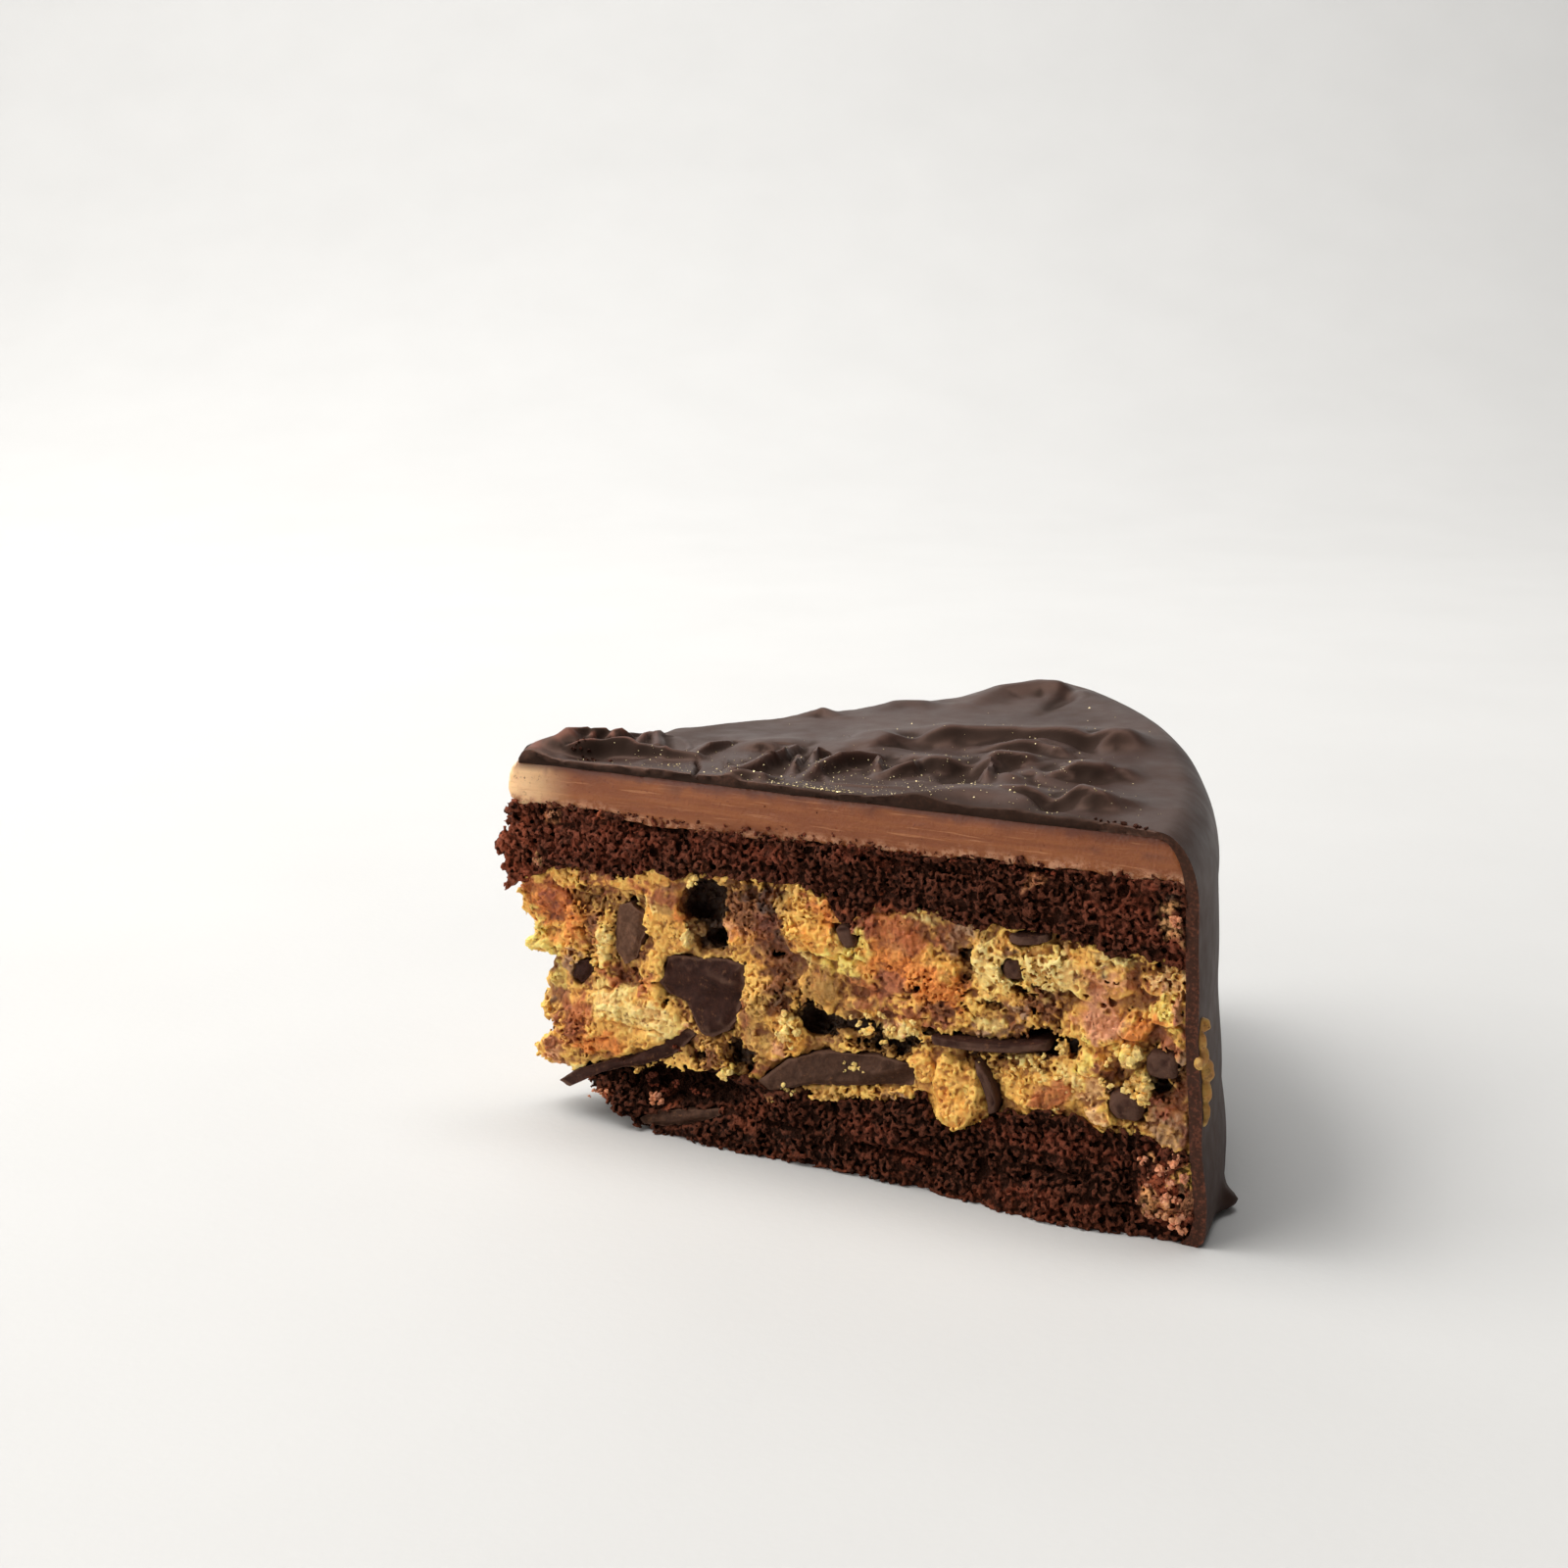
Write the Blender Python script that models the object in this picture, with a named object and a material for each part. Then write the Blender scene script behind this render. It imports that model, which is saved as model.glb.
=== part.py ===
"""Wedge of layered chocolate and orange cake, resting on its flat base.

Metres, +Z up. The tip of the slice points along -X and the coated outer wall along +X.
The cut face at -Y is called near, the one at +Y far. A place on a cut face is given by its
distance t from the apex of the wedge, its height z, and its depth inside the cut plane.
"""
import math
import random

import bmesh
import bpy
from mathutils import Matrix, Vector, noise

MM = 0.001

# Driving sizes of the slice, in millimetres.
WEDGE_ANGLE = 52.8
TOP_HEIGHT = 55.4
COATING_THICKNESS = 1.7
UPPER_SPONGE_TOP = 48.5
FILLING_TOP = 39.9
BASE_TOP = 11.9
LAYER_GAP = 0.4
POCKET_GAP = 0.35

# The coated wall at the cut faces, as (z, radius) up to where its corner starts. The corner
# is a quarter of an ellipse, and between the cuts the wall is a little flatter than round.
WALL = ((0.0, 107.9), (1.0, 108.8), (2.5, 109.25), (5.0, 109.3), (15.0, 108.2), (31.0, 107.0),
        (45.4, 106.4))
WALL_LEVELS = (0.0, 1.0, 2.3, 3.8, 6.0, 12.0, 24.0, 36.0)
CORNER_START = 45.4
CORNER_WIDTH = 5.8
TOP_THICKNESS = 0.9
FLAT_END = 100.6
WALL_FLATNESS = 1.36

# The origin sits under the middle of the slice's box, this far from the apex.
ORIGIN_FROM_APEX = 53.9
HALF_ANGLE = math.radians(WEDGE_ANGLE / 2)
NEAR, FAR = -1, 1

# The blunt tip: half its width at the apex, and how soon the sides run straight.
TIP_HALF_WIDTH = 1.0
TIP_FADE = 4.0
# A hollow goes in by at most this share of half the wedge's width there, and a lump stands
# at most this proud of the cut.
DEPTH_SHARE = 0.42
MAX_PROUD = 2.4
# The strips along the cut faces where a layer's surface wanders; inside it lies flat.
STRIP_WIDTH = 6.0
FLAT_FROM_T = 16.0

# Heights where the layers meet along the near cut, as (t, z).
BASE_TOP_NEAR = ((8, 8.0), (13, 6.8), (20, 8.8), (28, 10.7), (40, 10.8), (50, 10.6), (62, 11.4),
                 (68, 13.2), (75, 10.4), (84, 13.6), (92, 14.4), (106, 12.8))
FILLING_TOP_NEAR = ((0, 35.0), (4, 36.0), (9, 38.4), (14, 39.2), (24, 40.4), (34, 41.2),
                    (45, 41.8), (56, 39.4), (65, 40.3), (74, 39.0), (84, 39.6), (96, 38.6),
                    (106, 37.4))
# How far the tip of each layer stands from the apex, as (z, t).
BASE_TIP = ((0, 24.0), (0.8, 20.8), (1.6, 19.4), (2.6, 17.6), (3.8, 16.2), (5, 14.3), (8, 12.0))
FILLING_TIP = ((5, 8.6), (7, 6.6), (10, 5.6), (12, 7.6), (13.5, 8.6), (16, 6.8), (19, 7.6),
               (24, 8.9), (25, 5.6), (26.2, 4.2), (29, 6.5), (32, 4.7), (35, 3.4))
UPPER_TIP = ((34.2, 1.0), (36.4, 1.7), (38, 0.4), (40, 0.3), (41.6, -0.3), (43.7, 1.5), (47.2, 1.2),
             (48.4, 2.4))
COATING_TIP = 4.6
CREAM_TIP = ((48.4, 3.0), (49.6, 2.1), (51, 1.9), (52.8, 2.4), (54, 3.6))

# Hollows and lumps of the filling's near face, as (t, z, half length, half height, depth).
FILLING_HOLLOWS = ((35.0, 34.8, 2.8, 4.8, 8.0), (22.8, 35.5, 2.8, 0.8, 2.5),
                   (52.0, 21.8, 2.2, 2.6, 6.0), (57.2, 21.2, 4.0, 1.6, 5.0),
                   (66.5, 21.0, 3.2, 1.4, 3.5), (67, 29.5, 1.2, 1.8, 2.0),
                   (74.5, 32, 1.0, 2.0, 2.0), (82, 31.5, 2.0, 0.9, 2.5), (79, 28.4, 1.6, 0.9, 2.0),
                   (87.2, 24.2, 3.8, 1.6, 4.5), (102.2, 20.8, 2.0, 1.5, 3.0),
                   (43.5, 30.2, 2.4, 1.2, 3.0), (40, 12.6, 2.2, 2.4, 4.0),
                   (34, 12.6, 4.0, 2.0, 4.0), (22.1, 30.8, 4.2, 5.4, 1.8),
                   (13.5, 23.4, 3.0, 3.0, 1.4), (97.6, 17.8, 3.0, 2.6, 1.0))
FILLING_LUMPS = ((21, 15.6, 9.0, 4.5, -1.2), (53.4, 34.2, 3.0, 2.6, -1.2),
                 (74.2, 15.4, 4.0, 4.6, -1.2), (102.2, 31, 2.4, 2.6, -0.9), (63, 33, 5.0, 4.0, -0.6),
                 (28.8, 33, 3.0, 4.4, -1.0), (86, 35.5, 7.0, 3.4, -0.6), (47, 20.5, 3.4, 5.6, -0.8),
                 (97.5, 24.4, 1.6, 1.6, -1.0), (86.5, 28.5, 3.6, 2.0, -0.5))
BASE_HOLLOWS = ((31, 7.4, 6.0, 2.4, 5.0), (66, 4.6, 9.0, 0.9, 1.6), (88, 6.6, 7.0, 0.8, 1.6),
                (47, 5.4, 5.0, 0.9, 1.4))
UPPER_HOLLOWS = ((28, 47.2, 7.0, 0.9, 1.8), (67, 47.4, 5.0, 0.7, 1.4), (47, 43.4, 4.0, 1.2, 1.6))
# A blob at the foot of the wall, as z, across, half height, half width across and amount.
FOOT_BLOB = (1.2, -0.74, 1.5, 0.05, 2.2)
# The base's near face bulges at its foot, as t, half length, half height and amount.
FOOT_BULGE = (87.0, 11.0, 6.0, 2.1)
# The crumb lies this deep around a chocolate piece, up to a margin beyond it.
AROUND_PIECE = 0.9
PIECE_MARGIN = 1.2

# Crests of the coating's top: near and far slope widths, then (t, inset, rise) along the crest.
FOLDS = (
    (4.5, 2.2, ((63.1, -0.6, 0.4), (66.6, 0.6, 1.1), (70.2, 3.4, 1.7), (73, 5, 2),
               (77.3, 5.3, 2), (81.1, 4.1, 1.6), (83.4, 3.8, 0.6))),
    (1.7, 5.0, ((70.8, 7.6, 1.2), (77.6, 6.6, 2.2), (82.3, 6.8, 2.4), (85, 6.9, 2.5),
               (87.4, 7.7, 2.9), (90.2, 7.5, 2.4), (92.5, 8.7, 1.4), (95.6, 10.7, 0.3))),
    (1.5, 5.0, ((56.5, 20.8, 0.6), (59.3, 19.8, 1.4), (62.6, 19.2, 2), (65.9, 19.9, 2.2),
               (69.2, 20.6, 2.3), (70.6, 23, 2.7), (73.3, 23.6, 2.4), (75.7, 23.6, 1.2))),
    (1.4, 1.4, ((72.4, 13.6, 0.5), (71.4, 16.7, 1.3), (70.3, 20.8, 1.8))),
    (1.8, 5.0, ((74.4, 23.1, 1.2), (77.6, 20, 1.8), (80.3, 20.4, 2.2), (82.6, 22, 2.7),
               (85.2, 22.8, 2.3), (87.6, 24.2, 1.4), (89.9, 26, 0.3))),
    (2.6, 6.0, ((48.5, 21.9, 0.5), (50.3, 21.4, 1.2), (50.8, 24.3, 1.8), (51.9, 27.4, 2.5),
               (56.1, 31, 2.7), (60.4, 33.6, 2.5), (65.7, 35.9, 2.4), (71.3, 37.6, 2.3),
               (75.6, 38.1, 2.4), (79.6, 38.8, 3), (82.9, 38.7, 2.2), (85.9, 40.7, 0.6))),
    (2.0, 3.0, ((65, 30, 0.5), (68.2, 31.1, 1.4), (70.3, 31.8, 1.9), (72.9, 33.1, 2),
               (76.1, 32.5, 1.7), (78.3, 33.2, 0.8))),
    (4.0, 4.0, ((50.5, 55.1, 0.2), (52.4, 57.1, 0.7), (53.1, 60.3, 1.2), (54.9, 66.3, 1.8),
               (59.5, 70.5, 2), (64.4, 70.8, 1.8), (70.6, 69.4, 1.2), (76.8, 63.2, 0.3))),
    (3.0, 3.0, ((39.7, 49.9, 0.2), (41.8, 53, 0.8), (45.3, 54.5, 0.9), (48.2, 55.6, 0.4))),
    (1.4, 1.4, ((56.9, 11.7, 0.5), (56.3, 13.2, 1.3), (55, 16.2, 1.6))),
    (1.4, 1.6, ((57.5, 11.4, 0.5), (58.8, 14, 1.1), (60.2, 15.5, 1.5), (60.6, 17.8, 1.1))),
    (1.4, 1.3, ((11.1, 2.1, 0.6), (11.5, 3.4, 1.8), (12.5, 4.4, 2.5), (13.8, 5.1, 2.9),
               (16.4, 6.3, 2.9), (18.7, 6.9, 2.5), (20.4, 6.8, 1.9), (22.3, 7.6, 1.7),
               (25.9, 7.5, 1.4), (29.1, 8.9, 0.9))),
    (1.4, 2.0, ((28.7, 9.5, 0.6), (29.3, 13.3, 1.0), (30.1, 16.6, 0.6))),
    (3.5, 1.4, ((5.5, 0.6, 0.5), (5.9, 1.9, 1.5), (7.6, 3.1, 2), (8.7, 4, 2.3), (9.2, 5.9, 2.6))),
    (1.4, 1.4, ((8.8, 5.9, 1.3), (9.5, 7.1, 2.0), (10.8, 8.3, 2.2))),
    (1.4, 1.4, ((12.1, 7.8, 1.3), (11.8, 8.8, 2.1), (13.1, 9.9, 2.1))),
    (1.4, 1.4, ((14.6, 9.2, 1.3), (14.5, 10.3, 2.2), (15.4, 10.6, 2.2), (15.8, 10.9, 1.3))),
    (1.4, 1.4, ((18.5, 10, 0.6), (18.3, 12.6, 1.4), (18.5, 14.1, 1.6))),
    (1.4, 1.4, ((21.4, 10.6, 0.6), (19.3, 14.7, 1.3), (19.1, 16.3, 1.4))),
    (1.3, 1.2, ((38.1, -0.1, 0.3), (40.1, 1.5, 1.3), (41.7, 2.4, 1.7), (43.8, 2, 1.3),
               (44.1, 4.4, 0.4))),
    (1.0, 2.5, ((38, 1.4, 0.4), (39, 3.5, 1.1), (40.6, 7.6, 1.9), (41.2, 13.2, 2.4),
               (40.6, 17.7, 1.6))),
    (1.4, 1.4, ((45.9, 6.4, 0.5), (45, 8.7, 1.4), (43.7, 14, 1.7))),
    (1.4, 1.4, ((46.9, 10.6, 0.5), (45.5, 14, 1.3), (45, 16.5, 1.5), (46.5, 16.7, 1.0))),
    (1.0, 2.2, ((47.8, 5, 0.4), (48.8, 8, 1.4), (49.2, 12.2, 1.9), (50, 14.6, 2.2),
               (51.6, 17, 2), (53.4, 19.2, 1.2))),
    (1.4, 5.0, ((30.4, 18.4, 0.4), (35.5, 17.5, 0.8), (38.1, 19.5, 0.6))),
    (1.8, 2.0, ((30.9, 39.3, 0.2), (32.8, 41, 0.7), (33.9, 41.6, 1.1), (37.3, 40.3, 0.3))),
)
# Hollows beside the crests, as (t, inset, half length, half width, depth), and one lobe.
FOLD_HOLLOWS = (
    (74.6, 16.4, 3.0, 2.6, -1.5),
    (84.3, 6.8, 2.3, 3.8, 1.6),
    (67.3, 17.9, 2.4, 4.9, 1.7),
    (78.7, 21.8, 2.8, 2.8, 1.2),
    (53.9, 30.4, 3.4, 3.2, 1.9),
    (78.9, 39.3, 2.5, 5.6, 1.7),
    (74.7, 33.2, 3, 1.1, 0.8),
    (65.4, 68.2, 1.5, 9.4, 1.4),
    (15, 5.7, 2.1, 2.7, 0.8),
    (42.2, 4, 1.8, 1.9, 1.2),
    (39.4, 15, 1.9, 3, 1.2),
    (43.8, 13.8, 0.8, 4.4, 1.1),
    (48.9, 19.5, 1.5, 1.8, 0.9),
    (9.9, 15.8, 0.8, 3.7, 1.2),
    (14.5, 15, 0.8, 3, 1.2),
    (16.9, 17.7, 0.8, 5, 0.8),
)
# The top leans up towards the far cut, and more so at its rim, as (across, rise).
FAR_RISE = 1.25
RIM_RISE = ((-1.0, 0.0), (-0.5, 0.2), (-0.25, 1.0), (0.0, 2.2), (0.3, 2.5), (0.8, 2.5), (1.0, 2.2))
NEAR_EDGE_RISE = 0.5

# Pieces of chocolate in the crumb, as name, side, t, z, depth of the middle, half sizes along
# the face, inwards and up, roll in degrees, bend, squareness.
PIECES = (
    ("chunk_round", NEAR, 22.2, 30.3, 3.8, (2.8, 3.4, 4.8), -6, 0.0, 0.6),
    ("chunk_small", NEAR, 13.8, 23.5, 2.1, (2.1, 2.0, 2.0), 30, 0.0, 0.5),
    ("chunk_large", NEAR, 34.5, 23.2, 5.0, (6.8, 4.6, 5.2), -12, 0.0, 0.42),
    ("shard_long", NEAR, 21.5, 9.7, 4.9, (13.2, 5.2, 1.0), 22.5, 0.3, 0.3),
    ("flake_low", NEAR, 30.3, 3.1, 3.5, (6.4, 3.6, 1.1), 8, 0.3, 0.45),
    ("slab_dark", NEAR, 56.5, 15.6, 5.0, (12.0, 5.2, 2.5), 14, 0.2, 0.34),
    ("sliver_upright", NEAR, 78.8, 16.8, 2.3, (3.8, 2.6, 0.75), -70, -0.9, 0.35),
    ("sliver_middle", NEAR, 78.5, 22.7, 2.9, (8.5, 3.2, 0.9), 6, 0.4, 0.35),
    ("chunk_right", NEAR, 97.8, 17.8, 1.9, (2.3, 2.2, 2.2), 10, 0.0, 0.6),
    ("chunk_edge", NEAR, 102.4, 24.2, 1.7, (2.1, 1.9, 1.9), 0, 0.0, 0.55),
    ("sliver_top", NEAR, 83.8, 38.6, 1.9, (2.9, 2.2, 0.7), 8, 0.3, 0.4),
    ("chip_round", NEAR, 81.6, 34.2, 1.4, (1.5, 1.5, 1.5), 0, 0.0, 0.7),
    ("chip_middle", NEAR, 57.2, 35.2, 1.4, (1.2, 1.5, 1.7), 20, 0.0, 0.5),
    ("far_chunk_large", FAR, 71.0, 26.9, 4.0, (6.2, 4.4, 4.2), 12, 0.0, 0.4),
    ("far_chunk_round", FAR, 40.0, 32.4, 3.4, (3.6, 3.4, 3.8), 0, 0.0, 0.6),
    ("far_slab", FAR, 33.0, 18.0, 4.0, (9.0, 4.6, 1.9), -12, 0.6, 0.32),
    ("far_shard", FAR, 87.0, 19.4, 3.2, (8.6, 4.0, 0.85), -9, 0.7, 0.3),
    ("far_chunk_small", FAR, 55.0, 20.8, 2.2, (2.3, 2.2, 2.1), 24, 0.0, 0.5),
    ("far_chip_upper", FAR, 60.0, 35.0, 1.3, (1.8, 1.7, 1.5), 0, 0.0, 0.55),
    ("far_chip_rim", FAR, 98.0, 30.4, 1.4, (1.9, 1.8, 2.2), 30, 0.0, 0.5),
    ("far_chip_tip", FAR, 19.0, 25.4, 1.5, (1.9, 1.6, 1.6), -15, 0.0, 0.5),
)
PIECE_ROUGHNESS = 0.13
LARGE_PIECE = 5.0


def clear_scene():
    for obj in list(bpy.data.objects):
        bpy.data.objects.remove(obj, do_unlink=True)


def material(name, color, roughness, metallic=0.0):
    mat = bpy.data.materials.new(name)
    mat.use_nodes = True
    shader = mat.node_tree.nodes["Principled BSDF"]
    shader.inputs["Base Color"].default_value = (*color, 1.0)
    shader.inputs["Roughness"].default_value = roughness
    shader.inputs["Metallic"].default_value = metallic
    return mat


def smooth_through(points, x):
    """Height of a smooth curve through the points, level beyond both ends."""
    if x <= points[0][0]:
        return points[0][1]
    for (x0, y0), (x1, y1) in zip(points, points[1:]):
        if x <= x1:
            share = (x - x0) / (x1 - x0)
            return y0 + (y1 - y0) * share * share * (3 - 2 * share)
    return points[-1][1]


def smooth_step(low, high, x):
    share = min(max((x - low) / (high - low), 0.0), 1.0)
    return share * share * (3 - 2 * share)


def ragged(a, b, c, size, seed):
    """Uneven value between about -1 and 1 whose bumps are of the given size."""
    place = Vector((a / size + seed, b / size - seed * 0.37, c / size + seed * 1.7))
    return noise.noise(place) + 0.5 * noise.noise(place * 2.1)


def bump(x, y, half_x, half_y):
    return math.exp(-((x / half_x) ** 2 + (y / half_y) ** 2))


def axes_of(side):
    """Direction along a cut face from the apex, and its inward normal."""
    along = Vector((math.cos(HALF_ANGLE), side * math.sin(HALF_ANGLE), 0.0))
    inward = Vector((math.sin(HALF_ANGLE), -side * math.cos(HALF_ANGLE), 0.0))
    return along, inward


def flattened(radius, across):
    """Radius where the round of the wall is flatter between the cuts than at them."""
    return radius - WALL_FLATNESS * (1.0 - across * across) * smooth_step(40.0, 100.0, radius)


def wedge_point(radius, across, z, depth=0.0):
    """A point in metres: across runs from -1 on the near face to 1 on the far one."""
    angle = across * HALF_ANGLE
    radius = flattened(radius, across)
    blunt = across * TIP_HALF_WIDTH * math.exp(-max(radius, 0.0) / TIP_FADE)
    place = Vector((radius * math.cos(angle), radius * math.sin(angle) + blunt, z))
    if depth:
        place += axes_of(NEAR if across < 0 else FAR)[1] * depth
    return Vector((place.x - ORIGIN_FROM_APEX, place.y, place.z)) * MM


def box_shell(name, mat, grid):
    """Closed shell over a grid of points: columns run outwards from the tip, strands across
    the wedge and rows upwards. Beyond FLAT_FROM_T its top and bottom are flat inside."""
    bm = bmesh.new()
    verts = {}

    def vert(i, j, k):
        if (i, j, k) not in verts:
            verts[i, j, k] = bm.verts.new(grid.point(i, j, k))
        return verts[i, j, k]

    def quad(*corners):
        bm.faces.new([vert(*corner) for corner in corners])

    last_i, last_j, last_k = grid.columns, grid.strands, grid.rows
    for i in range(last_i):
        for k in range(last_k):
            for j in (0, last_j):
                quad((i, j, k), (i + 1, j, k), (i + 1, j, k + 1), (i, j, k + 1))
    for j in range(last_j):
        for k in range(last_k):
            for i in (0, last_i):
                quad((i, j, k), (i, j + 1, k), (i, j + 1, k + 1), (i, j, k + 1))
    flat_from = next(i for i in range(last_i) if grid.radius(i, last_k) > FLAT_FROM_T)
    for k in (0, last_k):
        for i in range(last_i):
            inner = range(last_j) if i < flat_from else (0, last_j - 1)
            for j in inner:
                quad((i, j, k), (i + 1, j, k), (i + 1, j + 1, k), (i, j + 1, k))
        outline = [(i, 1, k) for i in range(flat_from, last_i + 1)]
        outline += [(last_i, j, k) for j in range(2, last_j)]
        outline += [(i, last_j - 1, k) for i in range(last_i - 1, flat_from - 1, -1)]
        outline += [(flat_from, j, k) for j in range(last_j - 2, 1, -1)]
        quad(*outline)
    bmesh.ops.recalc_face_normals(bm, faces=bm.faces)
    bmesh.ops.triangulate(bm, faces=bm.faces)
    return add_object(name, bm, mat)


def add_object(name, bm, mat):
    mesh = bpy.data.meshes.new(name)
    bm.to_mesh(mesh)
    bm.free()
    obj = bpy.data.objects.new(name, mesh)
    bpy.context.collection.objects.link(obj)
    mesh.materials.append(mat)
    return obj


class LayerGrid:
    """Places the grid points of one layer of the slice."""

    def __init__(self, columns, rows, bottom, top, tip, rim, depth):
        self.columns, self.rows = columns, rows
        self.bottom, self.top, self.tip, self.rim, self.depth = bottom, top, tip, rim, depth
        self.strands = 8

    def foot_bulge(self, t, z):
        middle, half_t, half_z, amount = FOOT_BULGE
        return amount * bump(t - middle, z, half_t, half_z)

    def level(self, k):
        """Nominal height of a row, before the layers' surfaces wander."""
        low, high = self.bottom(60.0, 0), self.top(60.0, 0)
        return low + (high - low) * k / self.rows

    def radius(self, i, k):
        level = self.level(k)
        tip, rim = self.tip(level), self.rim(level)
        return tip + (rim - tip) * (i / self.columns) ** 1.06

    def across(self, j, radius):
        strip = min(STRIP_WIDTH / (max(radius, 1.0) * HALF_ANGLE), 0.5)
        inner = (j - 1) / (self.strands - 2) * 2 - 1
        return -1.0 if j == 0 else 1.0 if j == self.strands else inner * (1 - strip)

    def point(self, i, j, k):
        radius = self.radius(i, k)
        across = self.across(j, radius)
        side = NEAR if j == 0 else FAR if j == self.strands else 0
        low, high = self.bottom(radius, side), self.top(radius, side)
        z = low + (high - low) * k / self.rows
        depth = 0.0
        if side:
            room = DEPTH_SHARE * max(radius, 0.0) * HALF_ANGLE
            open_face = math.sin(math.pi * k / self.rows) ** 0.5 if 0 < k < self.rows else 0.0
            depth = edge_depth(radius, side) + open_face * self.depth(radius, z, side)
            depth -= self.foot_bulge(radius, z) if side == NEAR else 0.0
            depth = max(min(depth, room), -min(room, MAX_PROUD))
        tip_share = 1.0 - smooth_step(0.0, 5.0, radius - self.radius(0, k))
        radius += 0.9 * tip_share * ragged(across * 3, z, 0.0, 2.6, 41.0) * (i == 0)
        return wedge_point(radius, across, z, depth)


def edge_depth(t, side):
    """Depth of the cut edge that two layers share."""
    return 0.3 * ragged(t, 0.0, side * 20.0, 4.0, 3.0)


def meeting_height(level, near_heights, seed, offset):
    """Height function of a surface between two layers: authored on the near cut, seeded on
    the far one, and flat inside beyond the tip."""
    def height(t, side):
        tip_share = 1.0 - smooth_step(FLAT_FROM_T * 0.6, FLAT_FROM_T, t)
        authored = smooth_through(near_heights, t)
        if side == NEAR:
            return authored + offset
        wander = level + 0.9 * ragged(t, 0.0, 0.0, 13.0, seed) if side == FAR else level
        return wander + (authored - wander) * tip_share + offset
    return height


def level_height(z):
    return lambda t, side: z


def wall_outer_radius(z):
    return smooth_through([(height, radius) for height, radius in WALL], z)


def corner_point(share, inner=0.0, lower=0.0):
    """Radius and height along the coating's corner, from the wall at 0 to the top at 1, moved
    inwards and down."""
    angle = math.pi / 2 * share
    height = TOP_HEIGHT - CORNER_START
    return (FLAT_END + (CORNER_WIDTH - inner) * math.cos(angle),
            CORNER_START + (height - lower) * math.sin(angle))


def layer_rim(z):
    """Radius where the layers end inside the coating."""
    inner = COATING_THICKNESS + LAYER_GAP
    if z <= CORNER_START:
        return wall_outer_radius(z) - inner
    height = TOP_HEIGHT - CORNER_START - TOP_THICKNESS - LAYER_GAP
    rise = min((z - CORNER_START) / height, 1.0)
    return FLAT_END + (CORNER_WIDTH - inner) * math.sqrt(1.0 - rise * rise)


def relief(hollows, lumps, coarse, seed, far_count, levels):
    """Depth function of one layer's cut faces. The far face gets hollows and lumps of like
    sizes at seeded places."""
    near = tuple(hollows) + tuple(lumps)
    draw = random.Random(int(seed))
    far = []
    for n in range(far_count):
        size = near[n % len(near)]
        place = (draw.uniform(18, 102), draw.uniform(*levels))
        far.append((*place, size[2] * draw.uniform(0.8, 1.2), size[3], size[4] * 0.9))

    def depth(t, z, side):
        total = coarse * ragged(t, z, side * 30.0, 4.6, seed)
        total += 0.5 * coarse * ragged(t, z, side * 30.0, 2.1, seed + 5.0)
        for t0, z0, half_t, half_z, amount in near if side == NEAR else far:
            total += amount * bump(t - t0, z - z0, half_t, half_z)
        near_piece = beside_piece(t, z, side)
        return total + (AROUND_PIECE - total) * near_piece
    return depth


def beside_piece(t, z, side):
    """How close a place on a cut face is to one of its chocolate pieces, from 0 to 1."""
    closest = 0.0
    for _, piece_side, t0, z0, _, halves, roll, _, _ in PIECES:
        if piece_side != side:
            continue
        turn = math.radians(roll)
        along = (t - t0) * math.cos(turn) + (z - z0) * math.sin(turn)
        up = (z - z0) * math.cos(turn) - (t - t0) * math.sin(turn)
        share = bump(along, up, halves[0] + PIECE_MARGIN, halves[2] + PIECE_MARGIN)
        closest = max(closest, share)
    return smooth_step(0.1, 0.6, closest)


def fold_rise(t, inset, near_width, far_width, crest):
    """Rise of one crest at a place on the top: a rounded ridge with slopes of two widths."""
    best = 0.0
    for (t0, s0, h0), (t1, s1, h1) in zip(crest, crest[1:]):
        run = Vector((t1 - t0, s1 - s0))
        offset = Vector((t - t0, inset - s0))
        share = min(max(offset.dot(run) / run.length_squared, 0.0), 1.0)
        apart = offset - run * share
        turn = run.x * apart.y - run.y * apart.x
        beyond = 0.5 + 0.5 * turn / max(run.length * apart.length, 1e-6)
        width = near_width + (far_width - near_width) * beyond
        reach = apart.length / width
        rise = (h0 + (h1 - h0) * share) * math.exp(-reach * reach)
        best = max(best, rise)
    return best


def plain_top(radius, across):
    """Height of the top before its folds."""
    inner = FAR_RISE * smooth_step(-0.7, 0.5, across)
    rim = smooth_through(RIM_RISE, across)
    return TOP_HEIGHT + inner + (rim - inner) * smooth_step(72.0, 98.0, radius)


def coating_top(radius, across):
    """Height of the coating's upper surface."""
    angle = (across + 1) * HALF_ANGLE
    true_radius = flattened(radius, across)
    t, inset = true_radius * math.cos(angle), true_radius * math.sin(angle)
    rise = sum(fold_rise(t, inset, *fold) ** 4 for fold in FOLDS) ** (1 / 4)
    for t0, s0, half_t, half_s, amount in FOLD_HOLLOWS:
        rise -= amount * bump(t - t0, inset - s0, half_t, half_s)
    rise += 0.25 * ragged(t, inset, 0.0, 16.0, 9.0)
    rise += NEAR_EDGE_RISE * math.exp(-inset / 2.0)
    plain_rim = smooth_step(0.0, 7.0, FLAT_END + 1.0 - radius)
    return plain_top(radius, across) + max(rise, -0.7) * plain_rim


def foot_bulge(z, across):
    """Extra radius of the coating where it ran out on the surface below."""
    run = 0.35 * math.exp(-(z / 2.2) ** 2) * (1.0 + ragged(across * 50, 0.0, 0.0, 6.0, 2.0))
    level, blob_across, half_z, half_across, amount = FOOT_BLOB
    return max(run, 0.0) + amount * bump(z - level, across - blob_across, half_z, half_across)


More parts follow.
